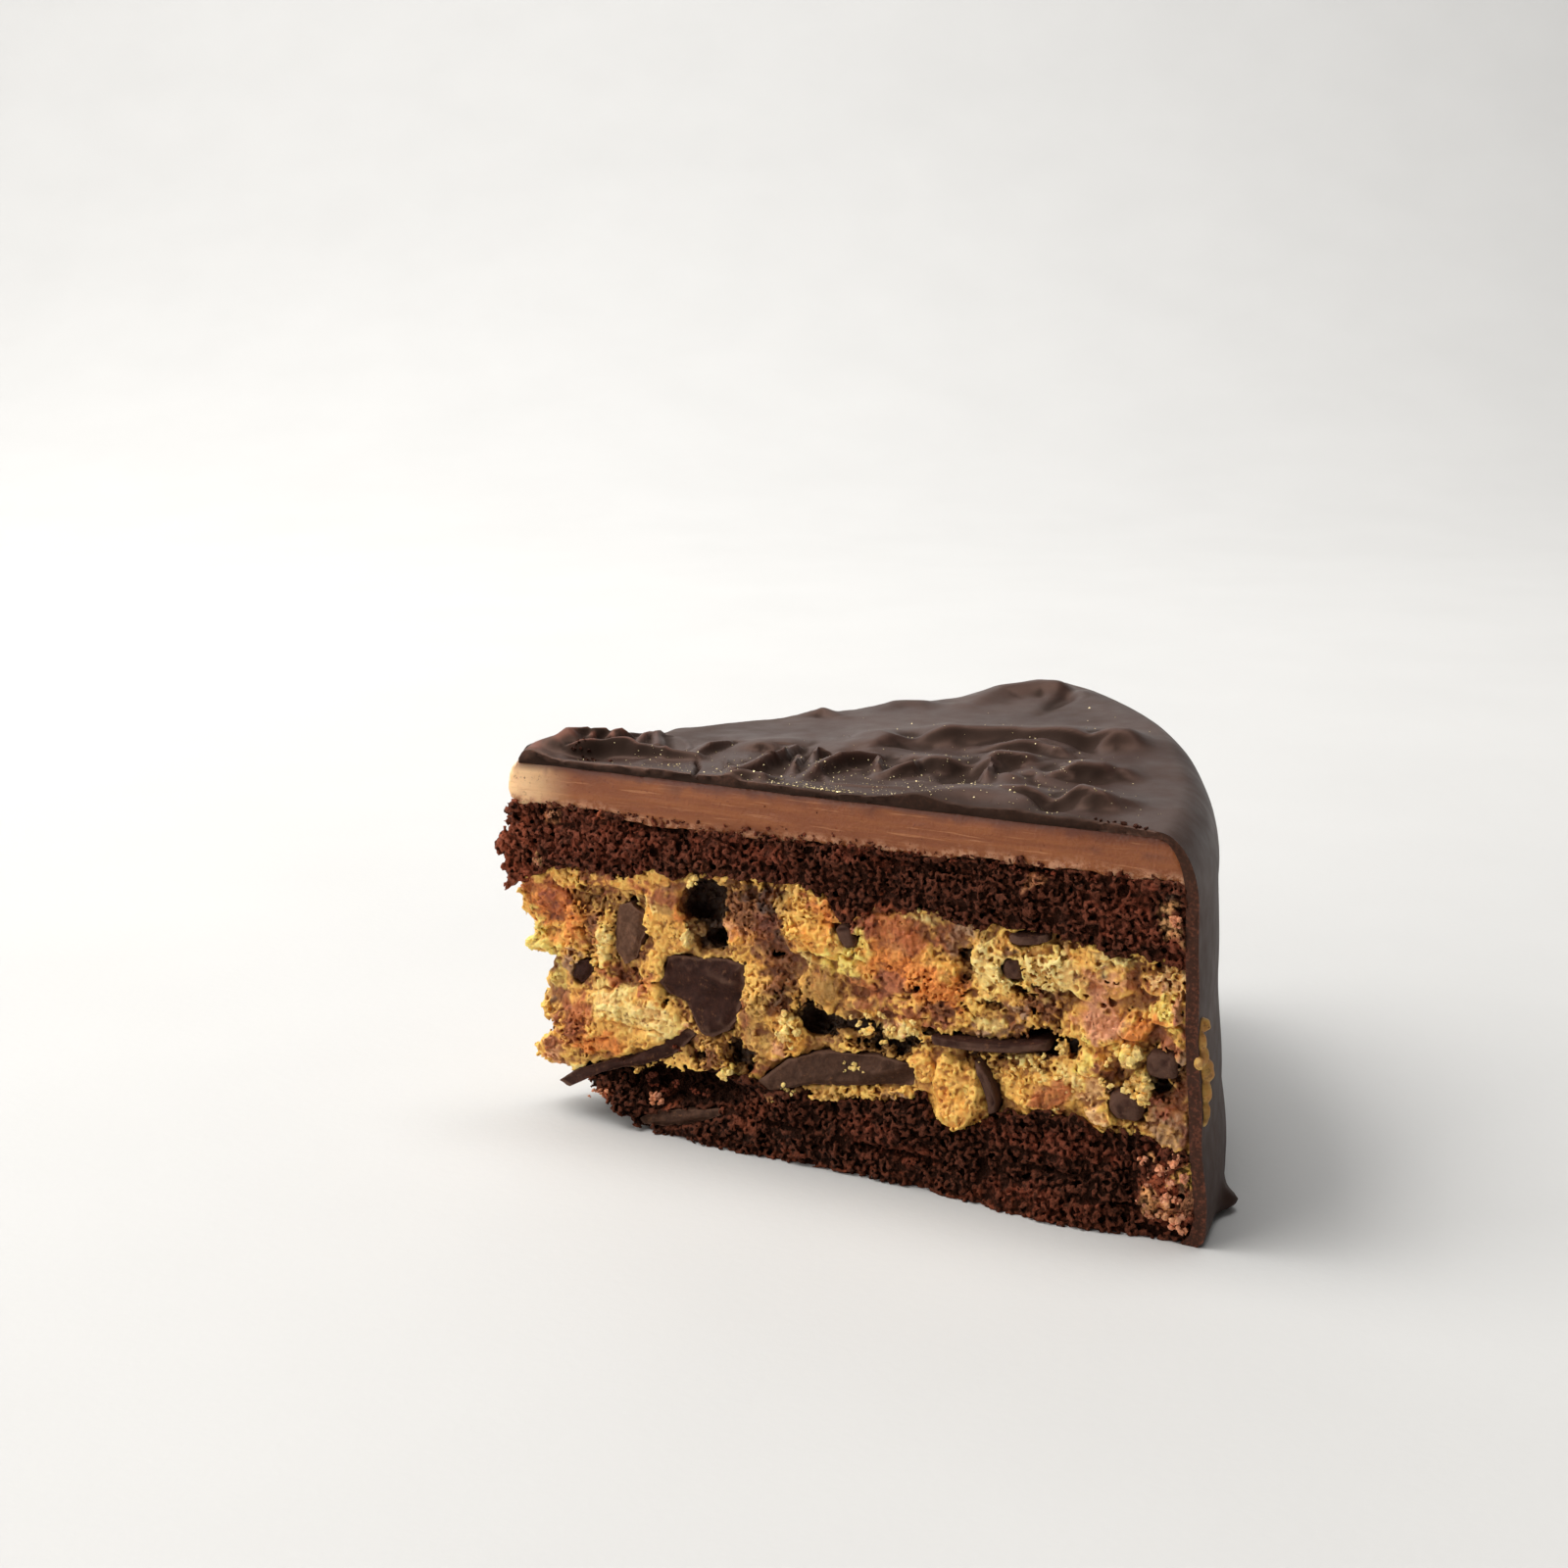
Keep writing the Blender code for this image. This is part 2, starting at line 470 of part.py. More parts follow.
def coating_profile(across, top_steps):
    """Closed outline (radius, z) of the coating: underside outwards, wall down, up again."""
    inner_steps, outer_steps = 6, 8
    rim_lift = smooth_through(RIM_RISE, across)
    outline = [(radius, TOP_HEIGHT - TOP_THICKNESS) for radius in (COATING_TIP, 20.0, 60.0, 80.0)]
    for step in range(inner_steps + 1):
        outline.append(corner_point(1 - step / inner_steps, COATING_THICKNESS, TOP_THICKNESS))
    outline += [(wall_outer_radius(z) - COATING_THICKNESS, z) for z in reversed(WALL_LEVELS)]
    outline += [(wall_outer_radius(z) + foot_bulge(z, across), z) for z in WALL_LEVELS]
    for step in range(outer_steps + 1):
        radius, z = corner_point(step / outer_steps)
        outline.append((radius, z + rim_lift * step / outer_steps))
    for step in range(1, top_steps + 1):
        radius = FLAT_END + (COATING_TIP - FLAT_END) * step / top_steps
        outline.append((radius, coating_top(radius, across)))
    return outline


def make_coating():
    """Chocolate over the top and down the outer wall, swept between the two cut faces."""
    strands, top_steps, triangles = 48, 68, 4080
    bm = bmesh.new()
    rings = []
    for j in range(strands + 1):
        across = 2 * j / strands - 1
        rings.append([bm.verts.new(wedge_point(r, across, z))
                      for r, z in coating_profile(across, top_steps)])
    for ring, following in zip(rings, rings[1:]):
        for a in range(len(ring)):
            b = (a + 1) % len(ring)
            bm.faces.new((ring[a], ring[b], following[b], following[a]))
    bm.faces.new(rings[0])
    bm.faces.new(rings[-1])
    bmesh.ops.recalc_face_normals(bm, faces=bm.faces)
    bmesh.ops.triangulate(bm, faces=bm.faces)
    full = len(bm.faces)
    obj = add_object("coating", bm, material("dark_coating", (0.034, 0.021, 0.018), 0.34))
    thin = obj.modifiers.new("Fewer faces", "DECIMATE")
    thin.ratio = triangles / full
    shade(obj)
    return obj


def shade(obj):
    obj.data.shade_smooth()
    obj.data.set_sharp_from_angle(angle=math.radians(50))


def make_base_sponge(mat):
    top = meeting_height(BASE_TOP, BASE_TOP_NEAR, 15.0, -LAYER_GAP)
    grid = LayerGrid(42, 4, level_height(0.0), top, lambda z: smooth_through(BASE_TIP, z),
                     layer_rim, relief(BASE_HOLLOWS, (), 0.45, 21.0, 6, (2, 9)))
    return box_shell("base_sponge", mat, grid)


def make_filling():
    bottom = meeting_height(BASE_TOP, BASE_TOP_NEAR, 15.0, 0.0)
    top = meeting_height(FILLING_TOP, FILLING_TOP_NEAR, 27.0, -LAYER_GAP)
    mat = material("orange_filling", (0.62, 0.36, 0.09), 0.6)
    grid = LayerGrid(42, 10, bottom, top, lambda z: smooth_through(FILLING_TIP, z), layer_rim,
                     relief(FILLING_HOLLOWS, FILLING_LUMPS, 0.8, 33.0, 18, (14, 37)))
    return box_shell("filling", mat, grid)


def make_upper_sponge(mat):
    bottom = meeting_height(FILLING_TOP, FILLING_TOP_NEAR, 27.0, 0.0)
    grid = LayerGrid(42, 4, bottom, level_height(UPPER_SPONGE_TOP),
                     lambda z: smooth_through(UPPER_TIP, z), layer_rim,
                     relief(UPPER_HOLLOWS, (), 0.45, 47.0, 6, (42, 47)))
    return box_shell("upper_sponge", mat, grid)


def make_cream():
    low = UPPER_SPONGE_TOP + LAYER_GAP
    mat = material("chocolate_cream", (0.45, 0.22, 0.11), 0.42)
    high = TOP_HEIGHT - TOP_THICKNESS - LAYER_GAP
    grid = LayerGrid(18, 3, level_height(low), level_height(high),
                     lambda z: smooth_through(CREAM_TIP, z), layer_rim,
                     lambda t, z, side: 0.15 * ragged(t, z, side * 30.0, 6.0, 52.0))
    return box_shell("cream", mat, grid)


def piece_mesh(half_sizes, bend, squareness, seed, grow=0.0):
    """Broken piece: a faceted ball pressed towards a box, roughened and bent upwards. A grown
    one has the same triangles, so it clears the piece all round."""
    bm = bmesh.new()
    sides, rings = (9, 5) if half_sizes[0] > LARGE_PIECE else (6, 4)
    bmesh.ops.create_uvsphere(bm, u_segments=sides, v_segments=rings, radius=1.0)
    for vert in bm.verts:
        uneven = 1.0 + PIECE_ROUGHNESS * ragged(*(vert.co * 3.0), 1.6, seed)
        shape = [math.copysign(abs(c) ** squareness, c) * uneven for c in vert.co]
        along, inward, up = (c * (half + grow) for c, half in zip(shape, half_sizes))
        up += bend * (along / half_sizes[0]) ** 2
        vert.co = Vector((along, inward, up)) * MM
    bmesh.ops.triangulate(bm, faces=bm.faces, quad_method="FIXED")
    return bm


def place_on_face(side, t, z, depth, roll):
    """Turns a piece's own axes to a cut face and moves it there."""
    along, inward = axes_of(side)
    up = Vector((0.0, 0.0, 1.0))
    middle = along * t + inward * depth + Vector((-ORIGIN_FROM_APEX, 0.0, z))
    turn = Matrix((along, up.cross(along), up)).transposed().to_4x4()
    return Matrix.Translation(middle * MM) @ turn @ Matrix.Rotation(-math.radians(roll), 4, "Y")


def make_pieces(mat):
    """The chocolate pieces, and a cutter slightly larger than each."""
    cutters = bpy.data.collections.new("pockets")
    bpy.context.scene.collection.children.link(cutters)
    for number, (name, side, t, z, depth, halves, roll, bend, squareness) in enumerate(PIECES):
        seed = 60.0 + 3.3 * number
        place = place_on_face(side, t, z, depth, roll)
        piece = add_object(name, piece_mesh(halves, bend, squareness, seed), mat)
        piece.matrix_world = place
        cutter = add_object(name + "_pocket",
                            piece_mesh(halves, bend, squareness, seed, POCKET_GAP), mat)
        cutter.matrix_world = place
        bpy.context.collection.objects.unlink(cutter)
        cutters.objects.link(cutter)
        cutter.hide_render = True
        cutter.display_type = "WIRE"
    return cutters


def cut_pockets(layer, cutters):
    pockets = layer.modifiers.new("Pockets", "BOOLEAN")
    pockets.operation = "DIFFERENCE"
    pockets.operand_type = "COLLECTION"
    pockets.collection = cutters
    pockets.solver = "EXACT"


def main():
    clear_scene()
    sponge = material("dark_sponge", (0.075, 0.026, 0.017), 0.85)
    chocolate = material("chocolate_piece", (0.028, 0.017, 0.016), 0.45)
    cutters = make_pieces(chocolate)
    for layer in (make_base_sponge(sponge), make_filling(), make_upper_sponge(sponge)):
        cut_pockets(layer, cutters)
    make_cream()
    make_coating()


main()
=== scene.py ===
"""Looks of a layered chocolate and orange cake slice: crumb, curd, cream, coating and light.

Lengths are in millimetres in this script's own sums and in metres once they reach a mesh.
The wedge's tip points along -X, its coated wall along +X. The cut face at -Y is called near
and the one at +Y far. On a cut face t is the distance from the wedge's apex, z the height
and depth the distance inside the cut plane.
"""
import math
from concurrent.futures import ThreadPoolExecutor
from itertools import product

import bmesh
import bpy
import numpy as np
import openvdb
from mathutils import Matrix, Vector
from mathutils.geometry import delaunay_2d_cdt


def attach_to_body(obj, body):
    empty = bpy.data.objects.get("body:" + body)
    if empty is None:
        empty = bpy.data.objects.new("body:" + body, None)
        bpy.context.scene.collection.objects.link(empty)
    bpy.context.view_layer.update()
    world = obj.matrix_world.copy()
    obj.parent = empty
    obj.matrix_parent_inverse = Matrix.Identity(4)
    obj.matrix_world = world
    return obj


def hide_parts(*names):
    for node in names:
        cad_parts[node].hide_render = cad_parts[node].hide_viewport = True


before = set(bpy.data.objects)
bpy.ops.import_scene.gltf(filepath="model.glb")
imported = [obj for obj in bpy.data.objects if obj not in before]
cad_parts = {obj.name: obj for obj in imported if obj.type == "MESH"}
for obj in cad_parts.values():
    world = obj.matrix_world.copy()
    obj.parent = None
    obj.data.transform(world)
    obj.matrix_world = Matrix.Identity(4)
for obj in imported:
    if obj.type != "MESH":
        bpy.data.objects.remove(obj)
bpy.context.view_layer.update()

MM = 0.001

# Sizes of the slice, as the solids have them.
WEDGE_ANGLE = 52.8
HALF_ANGLE = math.radians(WEDGE_ANGLE / 2)
TOP_HEIGHT = 55.4
COATING_THICKNESS = 1.7
TOP_THICKNESS = 0.9
UPPER_SPONGE_TOP = 48.5
FILLING_TOP = 39.9
BASE_TOP = 11.9
WALL = ((0, 107.9), (1, 108.8), (2.5, 109.25), (5, 109.3), (15, 108.2), (31, 107),
        (45.4, 106.4))
CORNER_START = 45.4
CORNER_WIDTH = 5.8
FLAT_END = 100.6
WALL_FLATNESS = 1.36
WIDEST = 109.5
ORIGIN_FROM_APEX = 53.9
# The blunt tip: half its width, and how fast the extra width fades away from it.
TIP_HALF_WIDTH = 1
TIP_FADE = 4
# The meeting lines between the layers are level further inside than this, and near the tip.
STRIP_WIDTH = 6
FLAT_FROM_T = 16
# Where the fields of the layers begin and end along X.
FIRST_X = -ORIGIN_FROM_APEX - 3.0
LAST_X = WIDEST - ORIGIN_FROM_APEX + 1.0
NEAR, FAR = -1, 1

# How far neighbouring layers run into each other, so that no light shows between them.
OVERLAP = 0.15

# Heights where the layers meet along the near cut, as (t, z).
BASE_TOP_NEAR = ((8, 8), (13, 6.8), (20, 8.8), (28, 10.7), (40, 11), (50, 10.5), (62, 11.5),
                 (66, 13), (69, 14), (71, 10.7), (75, 10.4), (78, 12), (82, 13.8), (90, 15),
                 (95, 14), (100, 15), (104, 12.8), (108, 12.5))
FILLING_TOP_NEAR = ((0, 35), (4, 36), (6, 37.5), (10, 39), (14, 39.4), (20, 38.8),
                    (27, 40.3), (34, 41), (44, 41.8), (50, 41.8), (53, 40.3), (57, 38),
                    (62, 40), (66, 40.5), (74, 39.4), (85, 40), (90, 39.5), (95, 38.7),
                    (104, 38))
CREAM_BOTTOM_NEAR = ((0, 48.7), (18, 48.5), (24, 47.5), (46, 47.4), (52, 48.2), (70, 48.2),
                     (77, 49), (104, 49.1))
# How far the tip of each layer stands from the apex, as (z, t).
BASE_TIP = ((0, 24), (0.8, 20.6), (1.6, 19.6), (2.6, 17.6), (3.8, 16.4), (5, 14.3), (8.4, 11))
FILLING_TIP = ((5, 8.1), (6, 9), (7, 6.5), (8.2, 5.7), (10, 5.6), (11.2, 6.4), (12.3, 7.6),
               (13.5, 8.5), (15, 6.9), (17, 6.8), (19, 7.5), (21.7, 7.4), (23.6, 8.1), (24.7, 8.9),
               (25.4, 5), (26.2, 4.1), (26.9, 4.6), (28, 5.4), (29, 6.5), (30.6, 5.3), (32, 4.6),
               (33.5, 4.3), (35, 3.5))
UPPER_TIP = ((34.1, 1), (35.4, 0.7), (36.4, 1.7), (37.2, 0.8), (38.1, 0.4), (39, 0.7), (40, 0.3),
             (41.6, -0.3), (42.7, 0.7), (43.7, 1.5), (45.5, 1.3), (47.2, 1.2), (48.3, 2))
CREAM_TIP = ((48.4, 3.2), (49.2, 2.3), (50.5, 1.9), (52, 2.2), (53.4, 2.6), (54, 3.4))
COATING_TIP = 4.6

# Chocolate pieces as name, side, t, z, depth, half sizes along the face, inwards and up,
# roll in degrees, bend and squareness.
PIECES = (
    ("chunk_round", NEAR, 22.2, 30.3, 3.8, (2.8, 3.4, 4.8), -6, 0, 0.6),
    ("chunk_small", NEAR, 13.8, 23.5, 2.1, (2.1, 2, 2), 30, 0, 0.5),
    ("chunk_large", NEAR, 34.5, 23.2, 5, (6.8, 4.6, 5.2), -12, 0, 0.42),
    ("shard_long", NEAR, 21.5, 9.7, 4.9, (13.2, 5.2, 1), 22.5, 0.3, 0.3),
    ("flake_low", NEAR, 30.3, 3.1, 3.5, (6.4, 3.6, 1.1), 8, 0.3, 0.45),
    ("slab_dark", NEAR, 56.5, 15.6, 5, (12, 5.2, 2.5), 14, 0.2, 0.34),
    ("sliver_upright", NEAR, 78.8, 16.8, 2.3, (3.8, 2.6, 0.75), -70, -0.9, 0.35),
    ("sliver_middle", NEAR, 78.5, 22.7, 2.9, (8.5, 3.2, 0.9), 6, 0.4, 0.35),
    ("chunk_right", NEAR, 97.8, 17.8, 1.9, (2.3, 2.2, 2.2), 10, 0, 0.6),
    ("chunk_edge", NEAR, 102.4, 24.2, 1.7, (2.1, 1.9, 1.9), 0, 0, 0.55),
    ("sliver_top", NEAR, 83.8, 38.6, 1.9, (2.9, 2.2, 0.7), 8, 0.3, 0.4),
    ("chip_round", NEAR, 81.6, 34.2, 1.4, (1.5, 1.5, 1.5), 0, 0, 0.7),
    ("chip_middle", NEAR, 57.2, 35.2, 1.4, (1.2, 1.5, 1.7), 20, 0, 0.5),
    ("far_chunk_large", FAR, 71, 26.9, 4, (6.2, 4.4, 4.2), 12, 0, 0.4),
    ("far_chunk_round", FAR, 40, 32.4, 3.4, (3.6, 3.4, 3.8), 0, 0, 0.6),
    ("far_slab", FAR, 33, 18, 4, (9, 4.6, 1.9), -12, 0.6, 0.32),
    ("far_shard", FAR, 87, 19.4, 3.2, (8.6, 4, 0.85), -9, 0.7, 0.3),
    ("far_chunk_small", FAR, 55, 20.8, 2.2, (2.3, 2.2, 2.1), 24, 0, 0.5),
    ("far_chip_upper", FAR, 60, 35, 1.3, (1.8, 1.7, 1.5), 0, 0, 0.55),
    ("far_chip_rim", FAR, 98, 30.4, 1.4, (1.9, 1.8, 2.2), 30, 0, 0.5),
    ("far_chip_tip", FAR, 19, 25.4, 1.5, (1.9, 1.6, 1.6), -15, 0, 0.5),
)
# Broken outlines of the larger near pieces, as (t, z) corners on the cut face.
OUTLINES = {
    "chunk_round": ((20.2, 34.5), (22.4, 35.1), (24.5, 33.6), (24.9, 31.4), (24.1, 29),
                    (23.1, 26.5), (21.4, 25.8), (20, 27.6), (19.5, 30.2)),
    "chunk_small": ((11.8, 22.2), (13, 24.6), (14.6, 25.3), (15.8, 24.5), (15.2, 22.6),
                    (13.4, 21.4)),
    "chunk_large": ((28.2, 27.9), (36, 28.6), (41.2, 28.7), (40.6, 22), (38.9, 18.4),
                    (36.2, 16.8), (34.4, 17.3), (31.6, 21.4), (28.4, 22), (27, 23.6)),
    "shard_long": ((8.9, 5), (12, 7.3), (20, 10.7), (26, 12.9), (31.5, 17), (32.8, 16.4),
                   (29, 12.6), (24, 10.4), (16, 7.6), (11, 4.5)),
    "flake_low": ((23.2, 1.6), (27, 3.6), (33, 4.9), (37.2, 5.7), (37, 4.7), (32, 2.4),
                  (27, 1.1), (24, 0.9)),
    "slab_dark": ((43.6, 11.6), (48, 15.4), (54, 17.7), (62, 18.3), (67.6, 17.6),
                  (67.4, 14.8), (60, 13.6), (52, 12.5), (45, 10.2)),
}
LARGE_PIECE = 5

# Lumps of cake in the filling's near face, as t, z, half length, half height, roll in degrees
# and the depth of their cut front.
LUMPS_NEAR = (
    (17.5, 38.2, 10.5, 2.2, 3, 0.5), (9.3, 32.4, 4.8, 3.6, -10, 0.5), (7.4, 26.5, 3.4, 1.2, 4, 0.6),
    (12.5, 28.4, 2.3, 2, 0, 0.1), (16, 31.5, 2.4, 2.8, 0, 1.3), (18.3, 29.2, 1.5, 2.1, 0, 0.7),
    (17.9, 26.4, 1.5, 1.6, 0, 0.3), (28.4, 33.2, 4.8, 5.9, 10, 0.3), (20.6, 16.3, 11.8, 5.3, 14, 0),
    (11.6, 14.4, 3.2, 5.4, -8, 0.7), (8.2, 15, 1.5, 1.1, 0, 0.4), (8.4, 10, 2.4, 2.7, 0, 0.6),
    (35.3, 7.2, 2.4, 1.9, 0, 0.9), (38, 11.7, 1.3, 1, 0, 0.2), (36.5, 15.6, 2.8, 1.6, -20, 0.7),
    (26.5, 26, 3, 3.6, 0, 0.5), (21.5, 22.6, 4.6, 1.3, 0, 0.9), (37.3, 38.5, 1.5, 2.8, 0, 0.6),
    (42.8, 36.8, 5.2, 3.6, 0, 0.8), (39.2, 32.5, 2.3, 2.1, 0, 0.4), (47, 29, 3.2, 5.2, 0, 1.2),
    (50.3, 36.7, 4.2, 6, 0, 0.3), (53.3, 33.9, 3, 2.7, 0, -0.3), (53, 27.4, 3.3, 3.9, 0, 0.5),
    (62.5, 33.2, 8, 6.2, -4, 0.2), (64, 26, 8.6, 1.7, 2, 0.5), (65, 22.8, 4.4, 1.7, -3, 0.7),
    (71.2, 30.3, 4.2, 4.2, 0, 0.2), (46.2, 20.8, 4.9, 7.2, 0, 0.5), (48.5, 21.4, 1.4, 1.2, 0, -0.3),
    (47.8, 18.8, 1.5, 1.1, 0, -0.2), (56.8, 12, 6.6, 1.6, 4, 0.4), (65.6, 13, 1.9, 1.3, 0, 0.3),
    (68.6, 18, 2, 2.3, 0, 0), (74, 15.2, 4.3, 5, 0, -0.5), (82, 35.3, 7.2, 4.5, 0, 0.2),
    (92.5, 35, 6.8, 4.3, 0, 0.2), (93.4, 29, 4, 3.4, 0, 0.4), (99, 28.8, 2.3, 2, 0, 0),
    (102.2, 31, 2.3, 2.3, 0, -0.3), (102.5, 35.2, 3, 2.6, 0, 0.2), (84, 28.4, 3.3, 2.6, 0, 0.7),
    (88.2, 24.6, 1.4, 1, 0, 0.7), (92.5, 22.5, 1.9, 2.7, 0, 0.3), (97.5, 24.4, 1.3, 1.3, 0, -0.4),
    (99.5, 20.8, 1.3, 3.7, -35, 0.3), (85.5, 17, 6.4, 3.3, -5, 0.4), (94.5, 15.8, 1.9, 2, 0, 0.3),
    (104, 15.6, 2.5, 3, 0, 0.2), (76.8, 25.4, 5.6, 1.8, 4, 0.9), (103.6, 26, 2.2, 3.4, 0, 0.6),
    (57, 38.4, 4, 1.7, 0, 0.6), (76.5, 29.8, 2.6, 2.8, 0, 0.6),
)
# Open hollows between the lumps, as t, z, half length, half height and depth.
HOLLOWS_NEAR = (
    (34.2, 36.2, 3.6, 4.4, 8.5), (36, 31.4, 2.6, 2.4, 7), (22.9, 35.6, 2.8, 0.7, 3),
    (52, 21.8, 2.4, 2.5, 7), (57.2, 21.4, 3.8, 1.5, 5), (60.5, 19.8, 6.6, 1.5, 5),
    (68, 21.1, 2.2, 0.9, 3.2), (67.5, 28.8, 1.2, 0.7, 2.8), (74.5, 32, 0.9, 2.1, 2.6),
    (82, 31.5, 2.2, 0.7, 3), (79.2, 28.5, 1.5, 0.7, 2.6), (86.4, 24.2, 3.2, 2, 5), (90, 24, 1.2, 1.5, 4),
    (102.2, 20.8, 1.6, 1.7, 4), (43.8, 30.5, 2.9, 1, 4.5), (27.8, 20.6, 1, 0.6, 2.4),
    (40.5, 14, 2.2, 2.4, 4), (33.5, 13.6, 2.2, 1.6, 4), (19.4, 26, 0.5, 1.2, 2), (20.6, 24, 4.4, 0.7, 1.4),
    (58.4, 34.9, 1.2, 1.6, 1.4), (95.5, 20.6, 1.2, 1.2, 2), (81, 20.9, 5, 0.6, 2.4), (73, 22.9, 4, 0.5, 2),
    (45.6, 40, 2.4, 0.6, 1.6),
)
HOLLOWS_BASE = ((28, 8, 7, 2.6, 6), (36, 9.2, 4, 1.8, 4), (66, 4.6, 9, 0.6, 1.4),
                (88, 6.8, 7, 0.5, 1.3), (47, 5.4, 5, 0.6, 1.2), (98, 4, 4, 0.5, 1))
HOLLOWS_UPPER = ((27, 47.2, 5, 0.7, 2.2), (31.5, 45.6, 2, 1.8, 1.4), (66, 46.8, 6, 0.4, 1.2),
                 (47, 43.4, 4, 0.8, 1.4), (83, 48.2, 6, 0.4, 1.2), (100, 46, 2.4, 1, 1))
# The base's near face bulges at its foot, as t, half length, half height and amount.
FOOT_BULGE = (87, 11, 6, 2.1)
# A blob at the foot of the wall, as z, across, half height, half width across and amount.
FOOT_BLOB = (1.4, -0.74, 1.4, 0.045, 2.4)

# Crests of the coating's top: near and far slope widths, then (t, inset, rise) along the crest.
FOLDS = (
    (4.5, 2.2, ((63.1, -0.6, 0.4), (66.6, 0.6, 1.1), (70.2, 3.4, 1.7), (73, 5, 2),
               (77.3, 5.3, 2), (81.1, 4.1, 1.6), (83.4, 3.8, 0.6))),
    (1.7, 5, ((70.8, 7.6, 1.2), (77.6, 6.6, 2.2), (82.3, 6.8, 2.4), (85, 6.9, 2.5),
               (87.4, 7.7, 2.9), (90.2, 7.5, 2.4), (92.5, 8.7, 1.4), (95.6, 10.7, 0.3))),
    (1.5, 5, ((56.5, 20.8, 0.6), (59.3, 19.8, 1.4), (62.6, 19.2, 2), (65.9, 19.9, 2.2),
               (69.2, 20.6, 2.3), (70.6, 23, 2.7), (73.3, 23.6, 2.4), (75.7, 23.6, 1.2))),
    (0.9, 0.9, ((72.4, 13.6, 0.6), (71.4, 16.7, 1.6), (70.3, 20.8, 2.2))),
    (1.8, 5, ((74.4, 23.1, 1.2), (77.6, 20, 1.8), (80.3, 20.4, 2.2), (82.6, 22, 2.7),
               (85.2, 22.8, 2.3), (87.6, 24.2, 1.4), (89.9, 26, 0.3))),
    (2.6, 6, ((48.5, 21.9, 0.5), (50.3, 21.4, 1.2), (50.8, 24.3, 1.8), (51.9, 27.4, 2.5),
               (56.1, 31, 2.7), (60.4, 33.6, 2.5), (65.7, 35.9, 2.4), (71.3, 37.6, 2.3),
               (75.6, 38.1, 2.4), (79.6, 38.8, 3), (82.9, 38.7, 2.2), (85.9, 40.7, 0.6))),
    (2, 3, ((65, 30, 0.5), (68.2, 31.1, 1.4), (70.3, 31.8, 1.9), (72.9, 33.1, 2),
               (76.1, 32.5, 1.7), (78.3, 33.2, 0.8))),
    (4, 4, ((50.5, 55.1, 0.2), (52.4, 57.1, 0.7), (53.1, 60.3, 1.2), (54.9, 66.3, 1.8),
               (59.5, 70.5, 2), (64.4, 70.8, 1.8), (70.6, 69.4, 1.2), (76.8, 63.2, 0.3))),
    (3, 3, ((39.7, 49.9, 0.2), (41.8, 53, 0.8), (45.3, 54.5, 0.9), (48.2, 55.6, 0.4))),
    (0.9, 0.9, ((56.9, 11.7, 0.6), (56.3, 13.2, 1.6), (55, 16.2, 2))),
    (0.9, 1.6, ((57.5, 11.4, 0.6), (58.8, 14, 1.4), (60.2, 15.5, 1.9), (60.6, 17.8, 1.4))),
    (1.4, 1.3, ((11.1, 2.1, 0.6), (11.5, 3.4, 1.8), (12.5, 4.4, 2.5), (13.8, 5.1, 2.9),
               (16.4, 6.3, 2.9), (18.7, 6.9, 2.5), (20.4, 6.8, 1.9), (22.3, 7.6, 1.7),
               (25.9, 7.5, 1.4), (29.1, 8.9, 0.9))),
    (0.9, 2, ((28.7, 9.5, 0.7), (29.3, 13.3, 1.3), (30.1, 16.6, 0.8))),
    (3.5, 1.4, ((5.5, 0.6, 0.5), (5.9, 1.9, 1.5), (7.6, 3.1, 2), (8.7, 4, 2.3), (9.2, 5.9, 2.6))),
    (1.2, 1.2, ((8.8, 5.9, 1.6), (9.5, 7.1, 2.2), (10.8, 8.3, 2.3))),
    (1.2, 1.2, ((12.1, 7.8, 1.6), (11.8, 8.8, 2.1), (13.1, 9.9, 2.1))),
    (1.2, 1.2, ((14.6, 9.2, 1.6), (14.5, 10.3, 2.1), (15.4, 10.6, 2.2), (16.4, 11.3, 1.4))),
    (1, 1, ((18.5, 10, 0.8), (18.3, 12.6, 1.4), (18.5, 14.1, 1.2))),
    (1, 1, ((21.4, 10.6, 0.8), (19.3, 14.7, 1.2), (19.1, 16.3, 1))),
    (1.3, 1.2, ((38.1, -0.1, 0.3), (40.1, 1.5, 1.3), (41.7, 2.4, 1.7), (43.8, 2, 1.3),
               (44.1, 4.4, 0.4))),
    (1, 2.5, ((38, 1.4, 0.4), (39, 3.5, 1.1), (40.6, 7.6, 1.9), (41.2, 13.2, 2.4),
               (40.6, 17.7, 1.6))),
    (0.9, 1.2, ((45.9, 6.4, 0.6), (45, 8.7, 1.7), (43.7, 14, 2.1))),
    (0.8, 0.9, ((46.9, 10.6, 0.6), (45.5, 14, 1.6), (45, 16.5, 1.9), (46.5, 16.7, 1.3))),
    (1, 2.2, ((47.8, 5, 0.4), (48.8, 8, 1.4), (49.2, 12.2, 1.9), (50, 14.6, 2.2),
               (51.6, 17, 2), (53.4, 19.2, 1.2))),
    (0.8, 5, ((30.4, 18.4, 0.5), (35.5, 17.5, 1), (38.1, 19.5, 0.8))),
    (1.8, 2, ((30.9, 39.3, 0.2), (32.8, 41, 0.7), (33.9, 41.6, 1.1), (37.3, 40.3, 0.3))),
)
